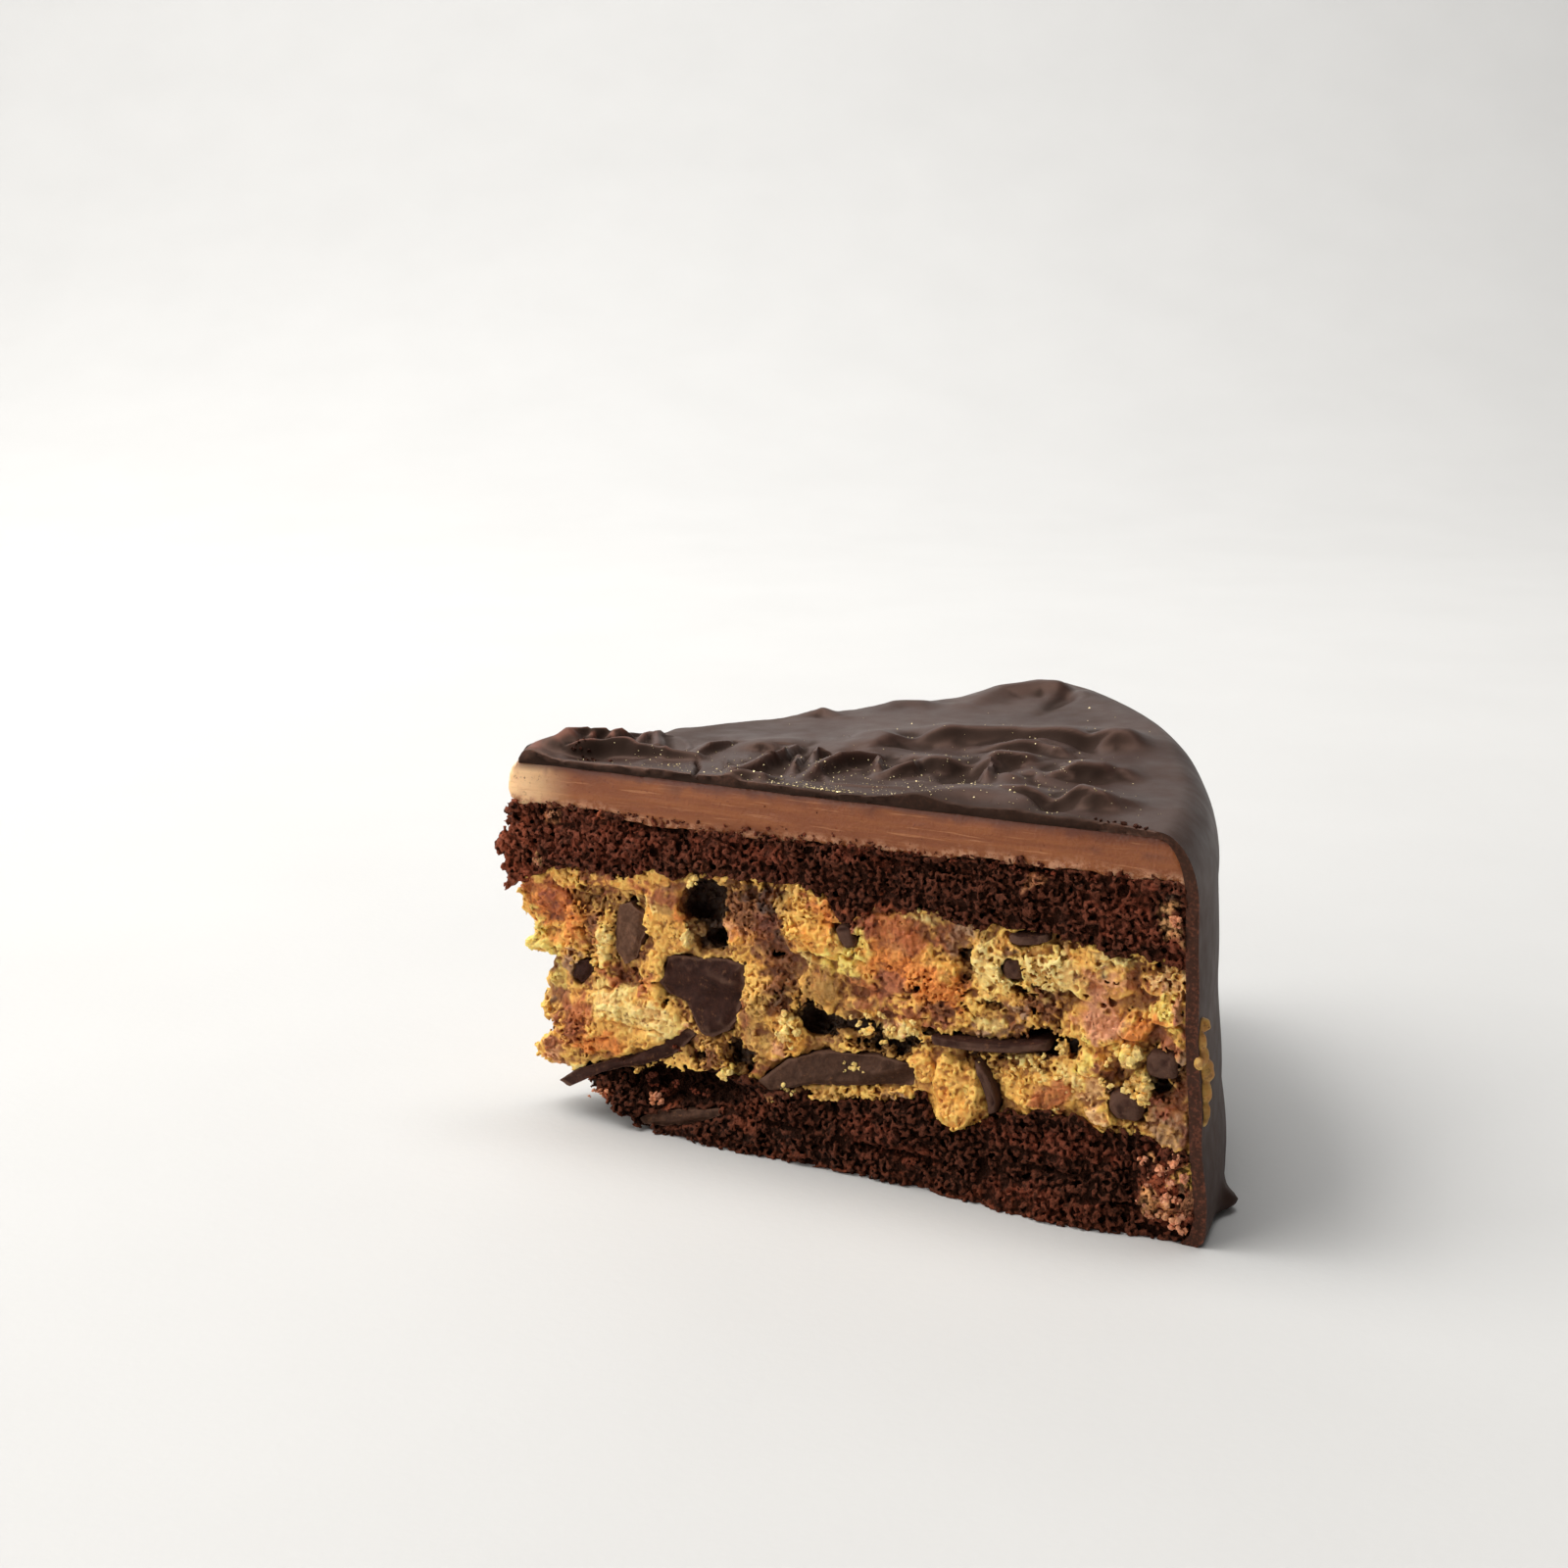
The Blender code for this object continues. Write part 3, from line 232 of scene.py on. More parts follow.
# Hollows beside the crests, as (t, inset, half length, half width, depth), and one lobe.
FOLD_HOLLOWS = (
    (74.6, 16.4, 3, 2.6, -1.5), (84.3, 6.8, 2.3, 3.8, 1.6), (67.3, 17.9, 2.4, 4.9, 1.7),
    (78.7, 21.8, 2.8, 2.8, 1.2), (53.9, 30.4, 3.4, 3.2, 1.9), (78.9, 39.3, 2.5, 5.6, 1.7),
    (74.7, 33.2, 3, 1.1, 0.8), (65.4, 68.2, 1.5, 9.4, 1.4), (15, 5.7, 2.1, 2.7, 0.8),
    (42.2, 4, 1.8, 1.9, 1.2), (39.4, 15, 1.9, 3, 1.2), (43.8, 13.8, 0.8, 4.4, 1.1),
    (48.9, 19.5, 1.5, 1.8, 0.9), (9.9, 15.8, 0.8, 3.7, 1.2), (14.5, 15, 0.8, 3, 1.2),
    (16.9, 17.7, 0.8, 5, 0.8),
)
# Share that a fold's slope on the near side keeps of its width.
FOLD_STEEPNESS = 0.75
# How much higher the top is along its near edge, on fine creases, and further back.
NEAR_EDGE_RISE = 0.5
CREASE_RISE = 0.4
FAR_RISE = 1.25
# How much higher the rim is, as (place across from near at -1 to far at 1, rise).
RIM_RISE = ((-1, 0), (-0.5, 0.2), (-0.25, 1), (0, 2.2), (0.3, 2.5), (0.8, 2.5), (1, 2.2))
# The ends of a thin crack in the top, as (t, inset).
TOP_CRACK = ((29.6, 8.5), (33.6, 0))
# Cracks in the cake, as the ends (t, z) and the depth.
CRACKS = ((14, 12.5, 18.5, 13.8, 0.7), (19, 16.2, 27.5, 16, 0.5), (17.5, 18, 19.5, 18.6, 0.7),
          (22, 18, 28.5, 17.6, 0.45), (21, 12.6, 25, 13.9, 0.5), (66.5, 28.2, 68.5, 29.6, 1.6),
          (56.4, 32.4, 60, 31.6, 0.9), (49.6, 31.6, 56, 32, 0.5))
# How far inside the cut the broken fronts of the pieces lie.
PIECE_FRONT = 0.35
# Filling smeared by the wall's near edge, as place along from the edge, height, half width, half
# height and thickness.
SMEAR_BLOBS = ((2.4, 29.8, 1.1, 1.1, 1.1), (1.4, 28, 0.9, 1.7, 0.7), (1.6, 26, 1, 1.8, 0.9),
               (2.8, 23.4, 1.8, 2.1, 1.2), (2.2, 21, 1.4, 2, 0.9), (1.6, 18.4, 0.9, 2, 0.7),
               (0.2, 25.4, 0.8, 1, 0.6))
# The box around that filling.
SMEAR_BOX = ((36.0, -50.5, 12.0), (47.0, -38.0, 33.0))
# Brown spots on the cream as t, z, half length and half height.
CREAM_SPOTS = ((28, 52.5, 1.2, 0.6), (37.3, 51.5, 1.0, 0.7), (67, 52.2, 1.8, 0.5))

# Strands across the coating, points around its corners, and heights up the inside of its wall.
COATING_STRANDS = 222
CORNER_STEPS = 18
INNER_CORNER_STEPS = 8
INNER_WALL_LEVELS = (42.0, 36.0, 30.0, 24.0, 18.0, 12.0, 8.0, 5.0, 3.0, 1.5, 0.0)

# Tones of the pieces that aren't plain dark chocolate.
PIECE_TONES = {"chunk_round": "dusty", "slab_dark": "flake", "flake_low": "flake"}

# Tones of the filling as zones of its near face: t, z, half length, half height and tone.
TONES_NEAR = (
    (9.4, 32.6, 5.2, 3.8, "orange"), (10, 35, 3.6, 1.2, "toast"), (8.6, 34, 1.3, 0.9, "rust"),
    (8.2, 31, 0.9, 0.7, "dark"), (6.7, 32.6, 0.5, 0.4, "dark"), (12.1, 33.4, 0.9, 0.6, "rust"),
    (6, 36.4, 1.8, 1.1, "toast"), (16.4, 36.6, 1.3, 0.7, "rust"), (18.5, 38, 1.2, 0.6, "toast"),
    (7, 26.5, 3.6, 1.3, "bright"), (6.4, 28.8, 1.6, 2, "bright"), (12.8, 28.4, 2, 1.5, "orange"),
    (12.8, 28.2, 1, 0.7, "amber"), (15.6, 31.6, 1.8, 2.6, "brown"), (18.2, 29.4, 1.4, 2.4, "pale"),
    (18.2, 26.2, 1.2, 1.5, "pale"), (16, 27.6, 1.2, 1.2, "toast"), (12.6, 24.4, 2.6, 1.8, "dust"),
    (9.2, 22, 1.4, 2.8, "bright"), (24.8, 38, 1.8, 1.2, "toast"), (28.2, 36.6, 2.4, 1.3, "rust"),
    (27.6, 34.4, 1.6, 1.4, "olive"), (31, 34.2, 2, 1.8, "orange"), (25.6, 29.6, 1.4, 1, "brown"),
    (31.6, 29.2, 1.1, 0.9, "pale"), (33, 31.6, 0.9, 1.5, "pale"), (26, 35.2, 1.6, 1.2, "pale"),
    # The toast zone at t 21, z 23.6 is a painted shadow: a shaded band over the hollow there.
    (21, 23.6, 5, 0.9, "toast"), (10.6, 18.4, 1.7, 2.2, "rust"), (13.4, 17, 2, 2.8, "toast"),
    (11.6, 14.4, 2, 2.2, "rust"), (8.4, 15, 1.4, 1.1, "rust"), (8.2, 17.2, 1, 0.7, "dark"),
    (8.8, 11.2, 2.2, 1.4, "rust"), (8, 9, 2.4, 1.4, "pink"), (12.4, 8.4, 1.6, 0.8, "pale"),
    (20, 20, 4.4, 2.6, "pale"), (25.6, 17.6, 5.6, 2.4, "pale"), (17, 12.6, 5, 2.4, "orange"),
    (32, 16, 1.2, 1.8, "pink"), (36.4, 15.8, 2.6, 1.2, "olive"), (36, 13.2, 2.6, 1.3, "brown"),
    (38.1, 11.7, 1.4, 1.1, "bright"), (35.2, 7, 2.6, 2.1, "olive"), (33.4, 8.8, 1.6, 1, "rust"),
    # The dark zone at t 44, z 38.8 is painted shade in the gap there.
    (37, 38.2, 1.7, 2.6, "moss"), (42.4, 37, 5.4, 3.6, "brown"), (44, 38.8, 4.2, 1.4, "dark"),
    (39, 32.8, 2.4, 2, "pink"), (39.3, 32.6, 0.8, 0.8, "pale"), (44.6, 33.2, 3.2, 2.6, "brown"),
    (47, 28.6, 3.2, 4.6, "brown"), (47.6, 33, 1.6, 1.8, "umber"), (42.8, 27, 1.6, 1.3, "yellow"),
    (43.4, 23.6, 2.6, 2.8, "moss"), (46.8, 23.8, 2, 2.4, "umber"), (41.4, 20, 1.3, 3.4, "rust"),
    (43.6, 17.6, 2.2, 3.2, "moss"), (48.8, 21.4, 1.2, 1.1, "pale"), (49.6, 18.2, 2.2, 2.4, "amber"),
    (47.6, 18.6, 0.9, 0.9, "pale"), (46.6, 16.6, 1.4, 0.9, "pink"), (43, 13.4, 2.6, 1.4, "rust"),
    (48.6, 39.4, 2.6, 2, "moss"), (50.2, 35.4, 2.4, 4.2, "yellow"), (54.2, 38.4, 2.4, 1.8, "orange"),
    (51.2, 38.2, 1, 0.8, "toast"), (53, 34.2, 2.8, 2.4, "amber"), (53.7, 33.2, 1.1, 1, "bright"),
    (50.4, 30.8, 1.6, 1.6, "pale"), (53.4, 27.4, 3, 4.2, "olive"), (57.4, 36.2, 1.4, 1.1, "ash"),
    (59.6, 34.4, 2.2, 2, "bright"), (57, 31.2, 2.6, 1.6, "bright"), (62.4, 37.8, 5.4, 1.9, "toast"),
    (64, 33.2, 4.8, 3.8, "orange"), (59.4, 28.2, 3.8, 1.4, "toast"), (66, 35.8, 3.6, 2, "toast"),
    (59.8, 38.8, 3.6, 1.2, "rust"), (68.4, 39, 2.4, 1.4, "pale"), (71.6, 37.2, 2, 1.6, "toast"),
    (64, 25.8, 8.4, 1, "rust"), (71.6, 24.6, 3, 1.4, "clay"), (69.6, 29.8, 3.4, 2.6, "orange"),
    (73, 28.4, 2.2, 2.4, "orange"), (64.6, 22.8, 4.2, 1.4, "pale"), (64.6, 23.4, 1.6, 0.8, "pink"),
    (57.6, 24.4, 2.2, 1, "moss"), (68.8, 18, 1.8, 2, "yellow"), (74.2, 15.4, 4.2, 4.8, "yellow"),
    (73, 14.6, 1.8, 1.6, "amber"), (74.6, 15.8, 0.8, 0.8, "bright"), (57, 11.9, 6.4, 1.2, "moss"),
    (65.6, 13, 2, 1.2, "dust"), (74, 37.6, 1.6, 2.4, "dust"), (77.4, 37.8, 1.8, 1.4, "moss"),
    (78.6, 33.6, 3, 4, "pale"), (82, 36.4, 2, 1, "umber"), (84.8, 36.3, 1.3, 0.8, "moss"),
    (88.6, 37.4, 1.1, 0.7, "toast"), (92.4, 38.6, 2, 0.8, "olive"), (87, 34.4, 4.4, 3.4, "pale"),
    (90, 34, 1, 0.7, "dark"), (94, 36.9, 0.8, 0.7, "ash"), (94.4, 34.6, 3, 1.7, "pink"),
    (92.6, 32.6, 2, 1.4, "rust"), (98.4, 34.6, 1.5, 2.6, "rust"), (95.4, 37.6, 2.6, 1.1, "pale"),
    (102.4, 36, 2.4, 2.4, "peach"), (101.8, 34.6, 0.9, 0.9, "pink"), (102.2, 31.4, 2.6, 2.2, "bright"),
    (105, 32.4, 0.8, 4.2, "pink"), (99.4, 28.8, 2.4, 1.9, "orange"), (94, 29.2, 3.4, 3, "blush"),
    (93.2, 26.8, 1.8, 1.1, "pink"), (85.4, 30, 3.6, 2, "brown"), (82.6, 28, 2.2, 1.6, "dust"),
    (80.8, 27.2, 0.8, 0.7, "bright"), (78.2, 26.2, 1.8, 1.2, "pale"), (83, 24.6, 4.6, 1.4, "umber"),
    (77.6, 24, 1.5, 1.2, "dust"), (88.4, 24.4, 1.4, 1, "moss"), (92.4, 22.8, 1.7, 2.6, "bright"),
    (94.8, 22.4, 1.3, 1.4, "clay"), (95.4, 20.4, 1.5, 1.1, "umber"), (97.6, 24.4, 1.3, 1.3, "bright"),
    (99.6, 20.8, 1.5, 3.2, "pale"), (83, 21, 2.6, 0.9, "pale"), (83.4, 18.2, 3.4, 2.4, "yellow"),
    (88, 17.4, 3, 1.8, "toast"), (90, 20.2, 2.2, 1.4, "pale"), (93, 18.4, 2, 1.2, "peach"),
    (94.4, 15.6, 1.6, 1.5, "peach"), (82.4, 15.4, 3, 1.3, "yellow"), (104, 15.6, 3, 2.4, "dust"),
    (103.6, 15, 1.2, 1, "olive"), (105, 24.2, 1.6, 3.2, "moss"), (103.4, 19.4, 2.2, 2, "rust"),
    (102.4, 27.2, 2.2, 1.4, "clay"), (100.8, 26.2, 0.9, 0.6, "pink"), (105.4, 20.4, 1.3, 3.6, "rust"),
    (104.6, 26, 1, 1.6, "dust"), (105.2, 29, 0.8, 1.6, "clay"), (103, 17.8, 1.8, 1.2, "clay"),
    (105.6, 14.6, 1, 2, "brown"), (64, 29, 3, 1.6, "clay"), (60, 36.6, 3.4, 1.6, "rust"),
    (36, 25, 3, 1.2, "toast"), (17, 39.4, 6, 0.9, "rust"), (30, 38.4, 2.4, 0.9, "brown"),
    (20, 37.2, 1, 0.6, "rust"), (17.2, 38.4, 1.8, 0.9, "brown"), (9.2, 32.2, 2.2, 1.6, "toast"),
    # The dark zone at t 86.6, z 24.4 is painted shade in the hollow there.
    (39.3, 32.6, 1.4, 1.2, "amber"), (86.6, 24.4, 2.6, 1.2, "dark"), (58, 30, 2.2, 0.9, "brown"),
    (71, 26.8, 3, 0.9, "brown"), (24, 27.4, 1.6, 1, "brown"), (14, 22, 2.6, 0.8, "brown"),
    (46, 35.4, 3, 1.6, "brown"),
)
# Tones of the two sponges, in the same way.
BASE_TONES = (
    (104.6, 6, 4.4, 4.8, "warmer"), (103.4, 8.6, 2, 0.8, "clay"), (102.4, 5, 1.5, 0.8, "peach"),
    (104.6, 4.6, 1.2, 0.9, "peach"), (106.4, 6.6, 1, 2, "dust"), (105.4, 8.6, 0.7, 0.8, "pale"),
    (107, 9.8, 1.2, 1.6, "bright"), (108.2, 6.4, 0.9, 3.2, "dust"), (100.8, 11, 0.7, 0.7, "peach"),
    (94, 2.8, 2.2, 1.6, "warm"), (41, 6.2, 3.6, 2, "crust"), (46, 2.2, 13, 1.7, "slate"),
    (46, 8.2, 2.2, 1, "warm"), (45.9, 9.2, 0.7, 0.5, "peach"), (48.6, 11, 1.2, 0.6, "peach"),
    (27, 5.6, 1.6, 1, "clay"), (17, 5, 1.6, 1.4, "clay"), (60, 7.4, 6, 1.4, "warm"),
    (86, 3, 8, 1.4, "warm"), (66, 4.4, 6, 0.8, "warm"), (52, 1, 20, 0.5, "crust"),
    (80, 0.7, 20, 0.7, "crust"), (88, 10.6, 10, 1.6, "warm"), (102, 13.2, 2.2, 1.2, "warm"),
)
UPPER_TONES = (
    (18, 44.4, 13, 4.4, "warm"), (40, 45, 10, 3, "warm"), (2.6, 42, 4.8, 8, "warmer"),
    (2.2, 36.6, 2.2, 2.2, "warmer"), (9.2, 47.2, 1.3, 0.7, "pink"), (7.4, 39.4, 0.8, 0.7, "peach"),
    (7, 46.4, 1.4, 1.6, "warm"), (18, 48.4, 1.4, 1, "clay"), (16.6, 38.8, 2.6, 1, "warm"),
    (36, 45.4, 2.4, 1.4, "warm"), (36, 41.6, 8, 0.8, "umber"), (44, 45.6, 6, 0.8, "warm"),
    (60, 46.8, 6, 1.2, "warm"), (84, 47.2, 1.2, 0.6, "pink"), (96, 43.6, 6, 3, "warm"),
    (103.2, 41, 1.8, 3.4, "warm"), (98, 48, 8, 1.2, "warm"), (103.4, 44, 1.3, 2.2, "peach"),
    (103.6, 47.4, 1.3, 1, "ash"), (62, 39.4, 6, 1, "clay"),
)

# The filling's near side is made in two parts that meet at this x.
FILLING_SPLIT = 0.5
GRAINS_PER_CRUMB = 4
# Loose crumbs as name, seed, tone, material, slot and zones of side, t, z, spread along and
# up, depth, count and size.
CRUMBS = (
    ("dark_crumbs", 5, "warm", "sponge", "dark_sponge",
     ((NEAR, 60, 48.2, 30, 0.5, 0.1, 150, 0.3), (NEAR, 50, 50, 32, 1.8, 0.1, 36, 0.13),
      (FAR, 60, 48.4, 30, 0.4, 0.1, 120, 0.32), (NEAR, 24, 7, 5, 1.6, 1.8, 24, 0.5),
      (NEAR, 30, 15, 3, 1.6, 1.0, 16, 0.4))),
    ("pale_crumbs", 6, "pale", "filling", "orange_filling",
     ((NEAR, 97.5, 24.6, 0.8, 0.8, -0.1, 9, 0.95), (NEAR, 99.2, 21.2, 0.7, 1.6, 0.1, 12, 0.9),
      (NEAR, 48.6, 21.4, 0.4, 0.4, 0.0, 3, 0.9), (NEAR, 47.8, 18.8, 0.4, 0.4, 0.0, 2, 0.8),
      (NEAR, 38.1, 11.7, 0.6, 0.4, 0.2, 6, 0.55), (NEAR, 58.6, 16.2, 1.1, 0.4, 0.2, 8, 0.42),
      (NEAR, 45.9, 9.2, 0.4, 0.2, 0.1, 3, 0.4), (NEAR, 48.6, 11.0, 0.8, 0.3, 0.1, 5, 0.4),
      (NEAR, 64, 22.8, 3.0, 0.8, 0.3, 14, 0.5), (NEAR, 88.8, 24.2, 0.4, 0.4, 0.6, 2, 0.8),
      (NEAR, 86, 20, 6, 1.6, 0.4, 20, 0.45), (NEAR, 32.4, 40.0, 1.0, 0.6, 0.3, 5, 0.5),
      (FAR, 60, 24, 26, 8, 0.1, 60, 0.45))),
    ("tan_crumbs", 8, "blush", "filling", "dark_sponge",
     ((NEAR, 104.6, 6.0, 1.8, 2.6, 0.1, 30, 0.8), (NEAR, 107.4, 9.4, 0.4, 1.0, 0.2, 12, 0.35),
      (NEAR, 100.8, 11.0, 0.2, 0.2, 0.0, 3, 0.5), (NEAR, 103.4, 44.2, 0.2, 0.5, 0.0, 5, 0.8),
      (NEAR, 9.2, 47.2, 0.6, 0.25, 0.0, 6, 0.4), (NEAR, 7.2, 39.6, 0.3, 0.4, 0.0, 5, 0.4),
      (NEAR, 26.6, 5.6, 0.8, 0.3, 0.6, 5, 0.5), (NEAR, 17.0, 4.8, 0.8, 0.5, 0.2, 6, 0.45))),
)

# Loose crumbs end short of the wall.
CRUMBS_END = 106.4

# Specks on the top as clusters of t, inset, their spreads and a count.
GOLD_CLUSTERS = ((53.5, 0.7, 2.4, 0.3, 80), (46, 1.5, 5, 1.2, 40), (55, 6, 12, 5, 190),
                 (62, 13, 10, 8, 150), (74, 12, 8, 8, 80), (24, 6, 4, 3, 36), (27, 2, 4, 1.5, 16),
                 (88, 10, 8, 7, 44), (66, 34, 14, 12, 60), (36, 4, 4, 3, 22))
ROUGH_CLUSTERS = ((14.0, 2.4, 1.8, 1.2, 14), (12.6, 3.4, 1.6, 1.0, 8), (97.5, 0.3, 3.4, 0.2, 34))

# The side that the surroundings are brightest towards, and their strengths opposite and there.
BRIGHT_SIDE = (-0.6, 0.7, 0.5)
WORLD_STRENGTHS = (0.015, 0.42)
# Lamps as name, place, target, size, power and colour.
LIGHTS = (
    ("key", (-0.86, 0.14, 1.16), (0.0, 0.0, 0.03), (1.0, 1.0), 19.0, (1.0, 0.985, 0.96)),
    ("back", (-0.30, 0.80, 0.70), (0.0, 0.0, 0.05), (0.8, 0.5), 1.2, (1.0, 1.0, 1.0)),
    ("backdrop", (-0.2, 0.30, 1.6), (-0.2, 1.3, 0.5), (1.6, 0.8), 28.0, (1.0, 1.0, 1.0)),
    ("front", (-0.62, -0.46, 0.30), (0.0, 0.0, 0.02), (0.3, 0.3), 1.9, (1.0, 0.97, 0.93)),
)

WORKERS = 4

# A field's values are kept within this band, and crumb is made this near to a cut face. The
# relief of the cuts reaches this deep.
FIELD_BAND = 1.5
ROUGH_ROOM = 2.6
CLOSE_TO_CUT = 9.5

# Rounds of evening out, and the depth in millimetres, for the painted crevice shade and bump highlight.
CREVICE_ROUNDS = 10
CREVICE_DEPTH = 0.3


# Shared sums.

def smooth_step(low, high, x):
    share = np.clip((x - low) / (high - low), 0.0, 1.0)
    return share * share * (3.0 - 2.0 * share)


def smooth_through(points, x):
    """Smooth curve through the points, level beyond both ends."""
    xs, ys = np.array(points, np.float32).T
    k = np.clip(np.searchsorted(xs, x, side="right") - 1, 0, len(xs) - 2)
    share = np.clip((x - xs[k]) / (xs[k + 1] - xs[k]), 0.0, 1.0)
    return ys[k] + (ys[k + 1] - ys[k]) * share * share * (3.0 - 2.0 * share)


def bump(x, y, half_x, half_y):
    return np.exp(-((x / half_x) ** 2 + (y / half_y) ** 2))


def beside_run(t, z, t0, z0, t1, z1):
    """Share of the way along a straight run, and how far a place is from it along t and z."""
    run_t, run_z = t1 - t0, z1 - z0
    share = np.clip(((t - t0) * run_t + (z - z0) * run_z) / (run_t ** 2 + run_z ** 2), 0.0, 1.0)
    return share, t - t0 - run_t * share, z - z0 - run_z * share


# Random values on a lattice, and a random place in each of its cubes, with a value of its own.
LATTICE = 64
LATTICE_VALUES, *LATTICE_PLACES = (
    np.random.default_rng(seed).uniform(low, high, LATTICE ** 3).astype(np.float32)
    for seed, low, high in ((11, -1, 1), *((20 + n, 0.08, 0.92) for n in range(4))))


def lattice_index(i, j, k):
    last = LATTICE - 1
    return ((i & last) * LATTICE + (j & last)) * LATTICE + (k & last)


def grain(x, y, z, size, seed=0.0):
    """Smooth uneven value, mostly between -0.6 and 0.6, with bumps of the given size. A size
    of three numbers stretches the bumps."""
    sizes = size if isinstance(size, tuple) else (size,) * 3
    parts = []
    for value, scale, shift in zip((x, y, z), sizes, (17.3, 41.7, 29.1)):
        q = np.asarray(value, np.float32) / scale + np.float32(shift + seed * 7.13)
        whole = np.floor(q)
        share = q - whole
        parts.append((whole.astype(np.int32), share * share * (3.0 - 2.0 * share)))
    (i, fx), (j, fy), (k, fz) = parts
    total = 0.0
    for di, wx in ((0, 1.0 - fx), (1, fx)):
        for dj, wy in ((0, 1.0 - fy), (1, fy)):
            low, high = (LATTICE_VALUES[lattice_index(i + di, j + dj, k + dk)] for dk in (0, 1))
            total = total + wx * wy * (low + (high - low) * fz)
    return total


def flat_grain(x, y, size, seed):
    return grain(x, y, 0.0 * x, size, seed)


def crumbs(x, y, z, size, seed=0):
    """Distance to the nearest of randomly placed points, one in each cube of the given size,
    and that point's own random value."""
    q = [np.asarray(v, np.float32) / size + np.float32(seed * 5.37 + 9.0) for v in (x, y, z)]
    whole = [np.floor(v) for v in q]
    share = [v - w for v, w in zip(q, whole)]
    cube = [w.astype(np.int32) for w in whole]
    best = np.full(np.shape(share[0]), 9.0, np.float32)
    own = np.zeros_like(best)
    for step in product((-1, 0, 1), repeat=3):
        cell = lattice_index(*(c + d for c, d in zip(cube, step)))
        apart = sum((LATTICE_PLACES[n][cell] + (step[n] - share[n])) ** 2 for n in range(3))
        closer = apart < best
        best = np.where(closer, apart, best)
        own = np.where(closer, LATTICE_PLACES[3][cell], own)
    return np.sqrt(best) * size, own


def wedge_places(x, y):
    """Radius from the apex, and t and depth for both cut faces, the blunt tip included."""
    out = x + ORIGIN_FROM_APEX
    radius = np.hypot(out, y)
    blunt = TIP_HALF_WIDTH * np.exp(-np.maximum(out, 0.0) / TIP_FADE)
    cos, sin = math.cos(HALF_ANGLE), math.sin(HALF_ANGLE)
    across = np.arctan2(y, np.maximum(out, 1.0)) / HALF_ANGLE
    places = {"radius": radius, "out": out, "across": across,
              "rim_radius": radius + flatness(radius, across)}
    for side in (NEAR, FAR):
        places[side] = (out * cos + side * y * sin, out * sin - side * y * cos + blunt * cos)
    return places


def flatness(radius, across):
    """How much flatter than round the wall is between the cuts."""
    return WALL_FLATNESS * (1.0 - across * across) * smooth_step(40.0, 100.0, radius)


def face_point(side, t, z, depth):
    """The place at t and z on a cut face, or the given depth inside it."""
    cos, sin = math.cos(HALF_ANGLE), math.sin(HALF_ANGLE)
    return np.stack([t * cos + depth * sin - ORIGIN_FROM_APEX, side * (t * sin - depth * cos), z], -1)


def layer_rim(z):
    """Radius where the layers end inside the coating."""
    corner = CORNER_WIDTH - COATING_THICKNESS
    height = TOP_HEIGHT - CORNER_START - TOP_THICKNESS
    rise = np.clip((np.asarray(z, np.float32) - CORNER_START) / height, 0.0, 1.0)
    above = FLAT_END + corner * np.sqrt(np.maximum(1.0 - rise * rise, 0.0))
    below = smooth_through(WALL, z) - COATING_THICKNESS
    return np.where(np.asarray(z) > CORNER_START, above, below) + OVERLAP


def meeting_height(places, level, near_heights, seed):
    """Height of the surface between two layers: listed along the near cut, seeded along the
    far one and flat inside."""
    (t_near, d_near), (t_far, d_far) = places[NEAR], places[FAR]
    near = smooth_through(near_heights, t_near)
    tip_share = 1.0 - smooth_step(FLAT_FROM_T * 0.6, FLAT_FROM_T, t_near)
    far = level + 1.1 * flat_grain(t_far, 0.0 * t_far, 13.0, seed)
    near_share = 1.0 - smooth_step(0.0, STRIP_WIDTH, d_near)
    far_share = (1.0 - smooth_step(0.0, STRIP_WIDTH, d_far)) * (1.0 - near_share)
    height = level + (near - level) * np.maximum(near_share, tip_share)
    return height + (far - level) * far_share * (1.0 - tip_share)


# Meshes from fields: a field is a signed distance in millimetres, negative inside.

def add_mesh(name, points, faces, mat, smooth=True):
    """Object from points in millimetres and faces of three or four corners."""
    mesh = bpy.data.meshes.new(name)
    mesh.vertices.add(len(points))
    mesh.vertices.foreach_set("co", (np.asarray(points, np.float32) * MM).ravel())
    groups = [np.asarray(f, np.int32) for f in faces if len(f)]
    mesh.loops.add(sum(f.size for f in groups))
    mesh.loops.foreach_set("vertex_index", np.concatenate([f.ravel() for f in groups]))
    sizes = np.concatenate([np.full(len(f), f.shape[1], np.int32) for f in groups])
    starts = np.concatenate(([0], np.cumsum(sizes)[:-1])).astype(np.int32)
    mesh.polygons.add(len(sizes))
    mesh.polygons.foreach_set("loop_start", starts)
    mesh.polygons.foreach_set("use_smooth", np.full(len(sizes), smooth))
    mesh.update(calc_edges=True)
    mesh.materials.append(mat)
    obj = bpy.data.objects.new(name, mesh)
    bpy.context.collection.objects.link(obj)
    return obj


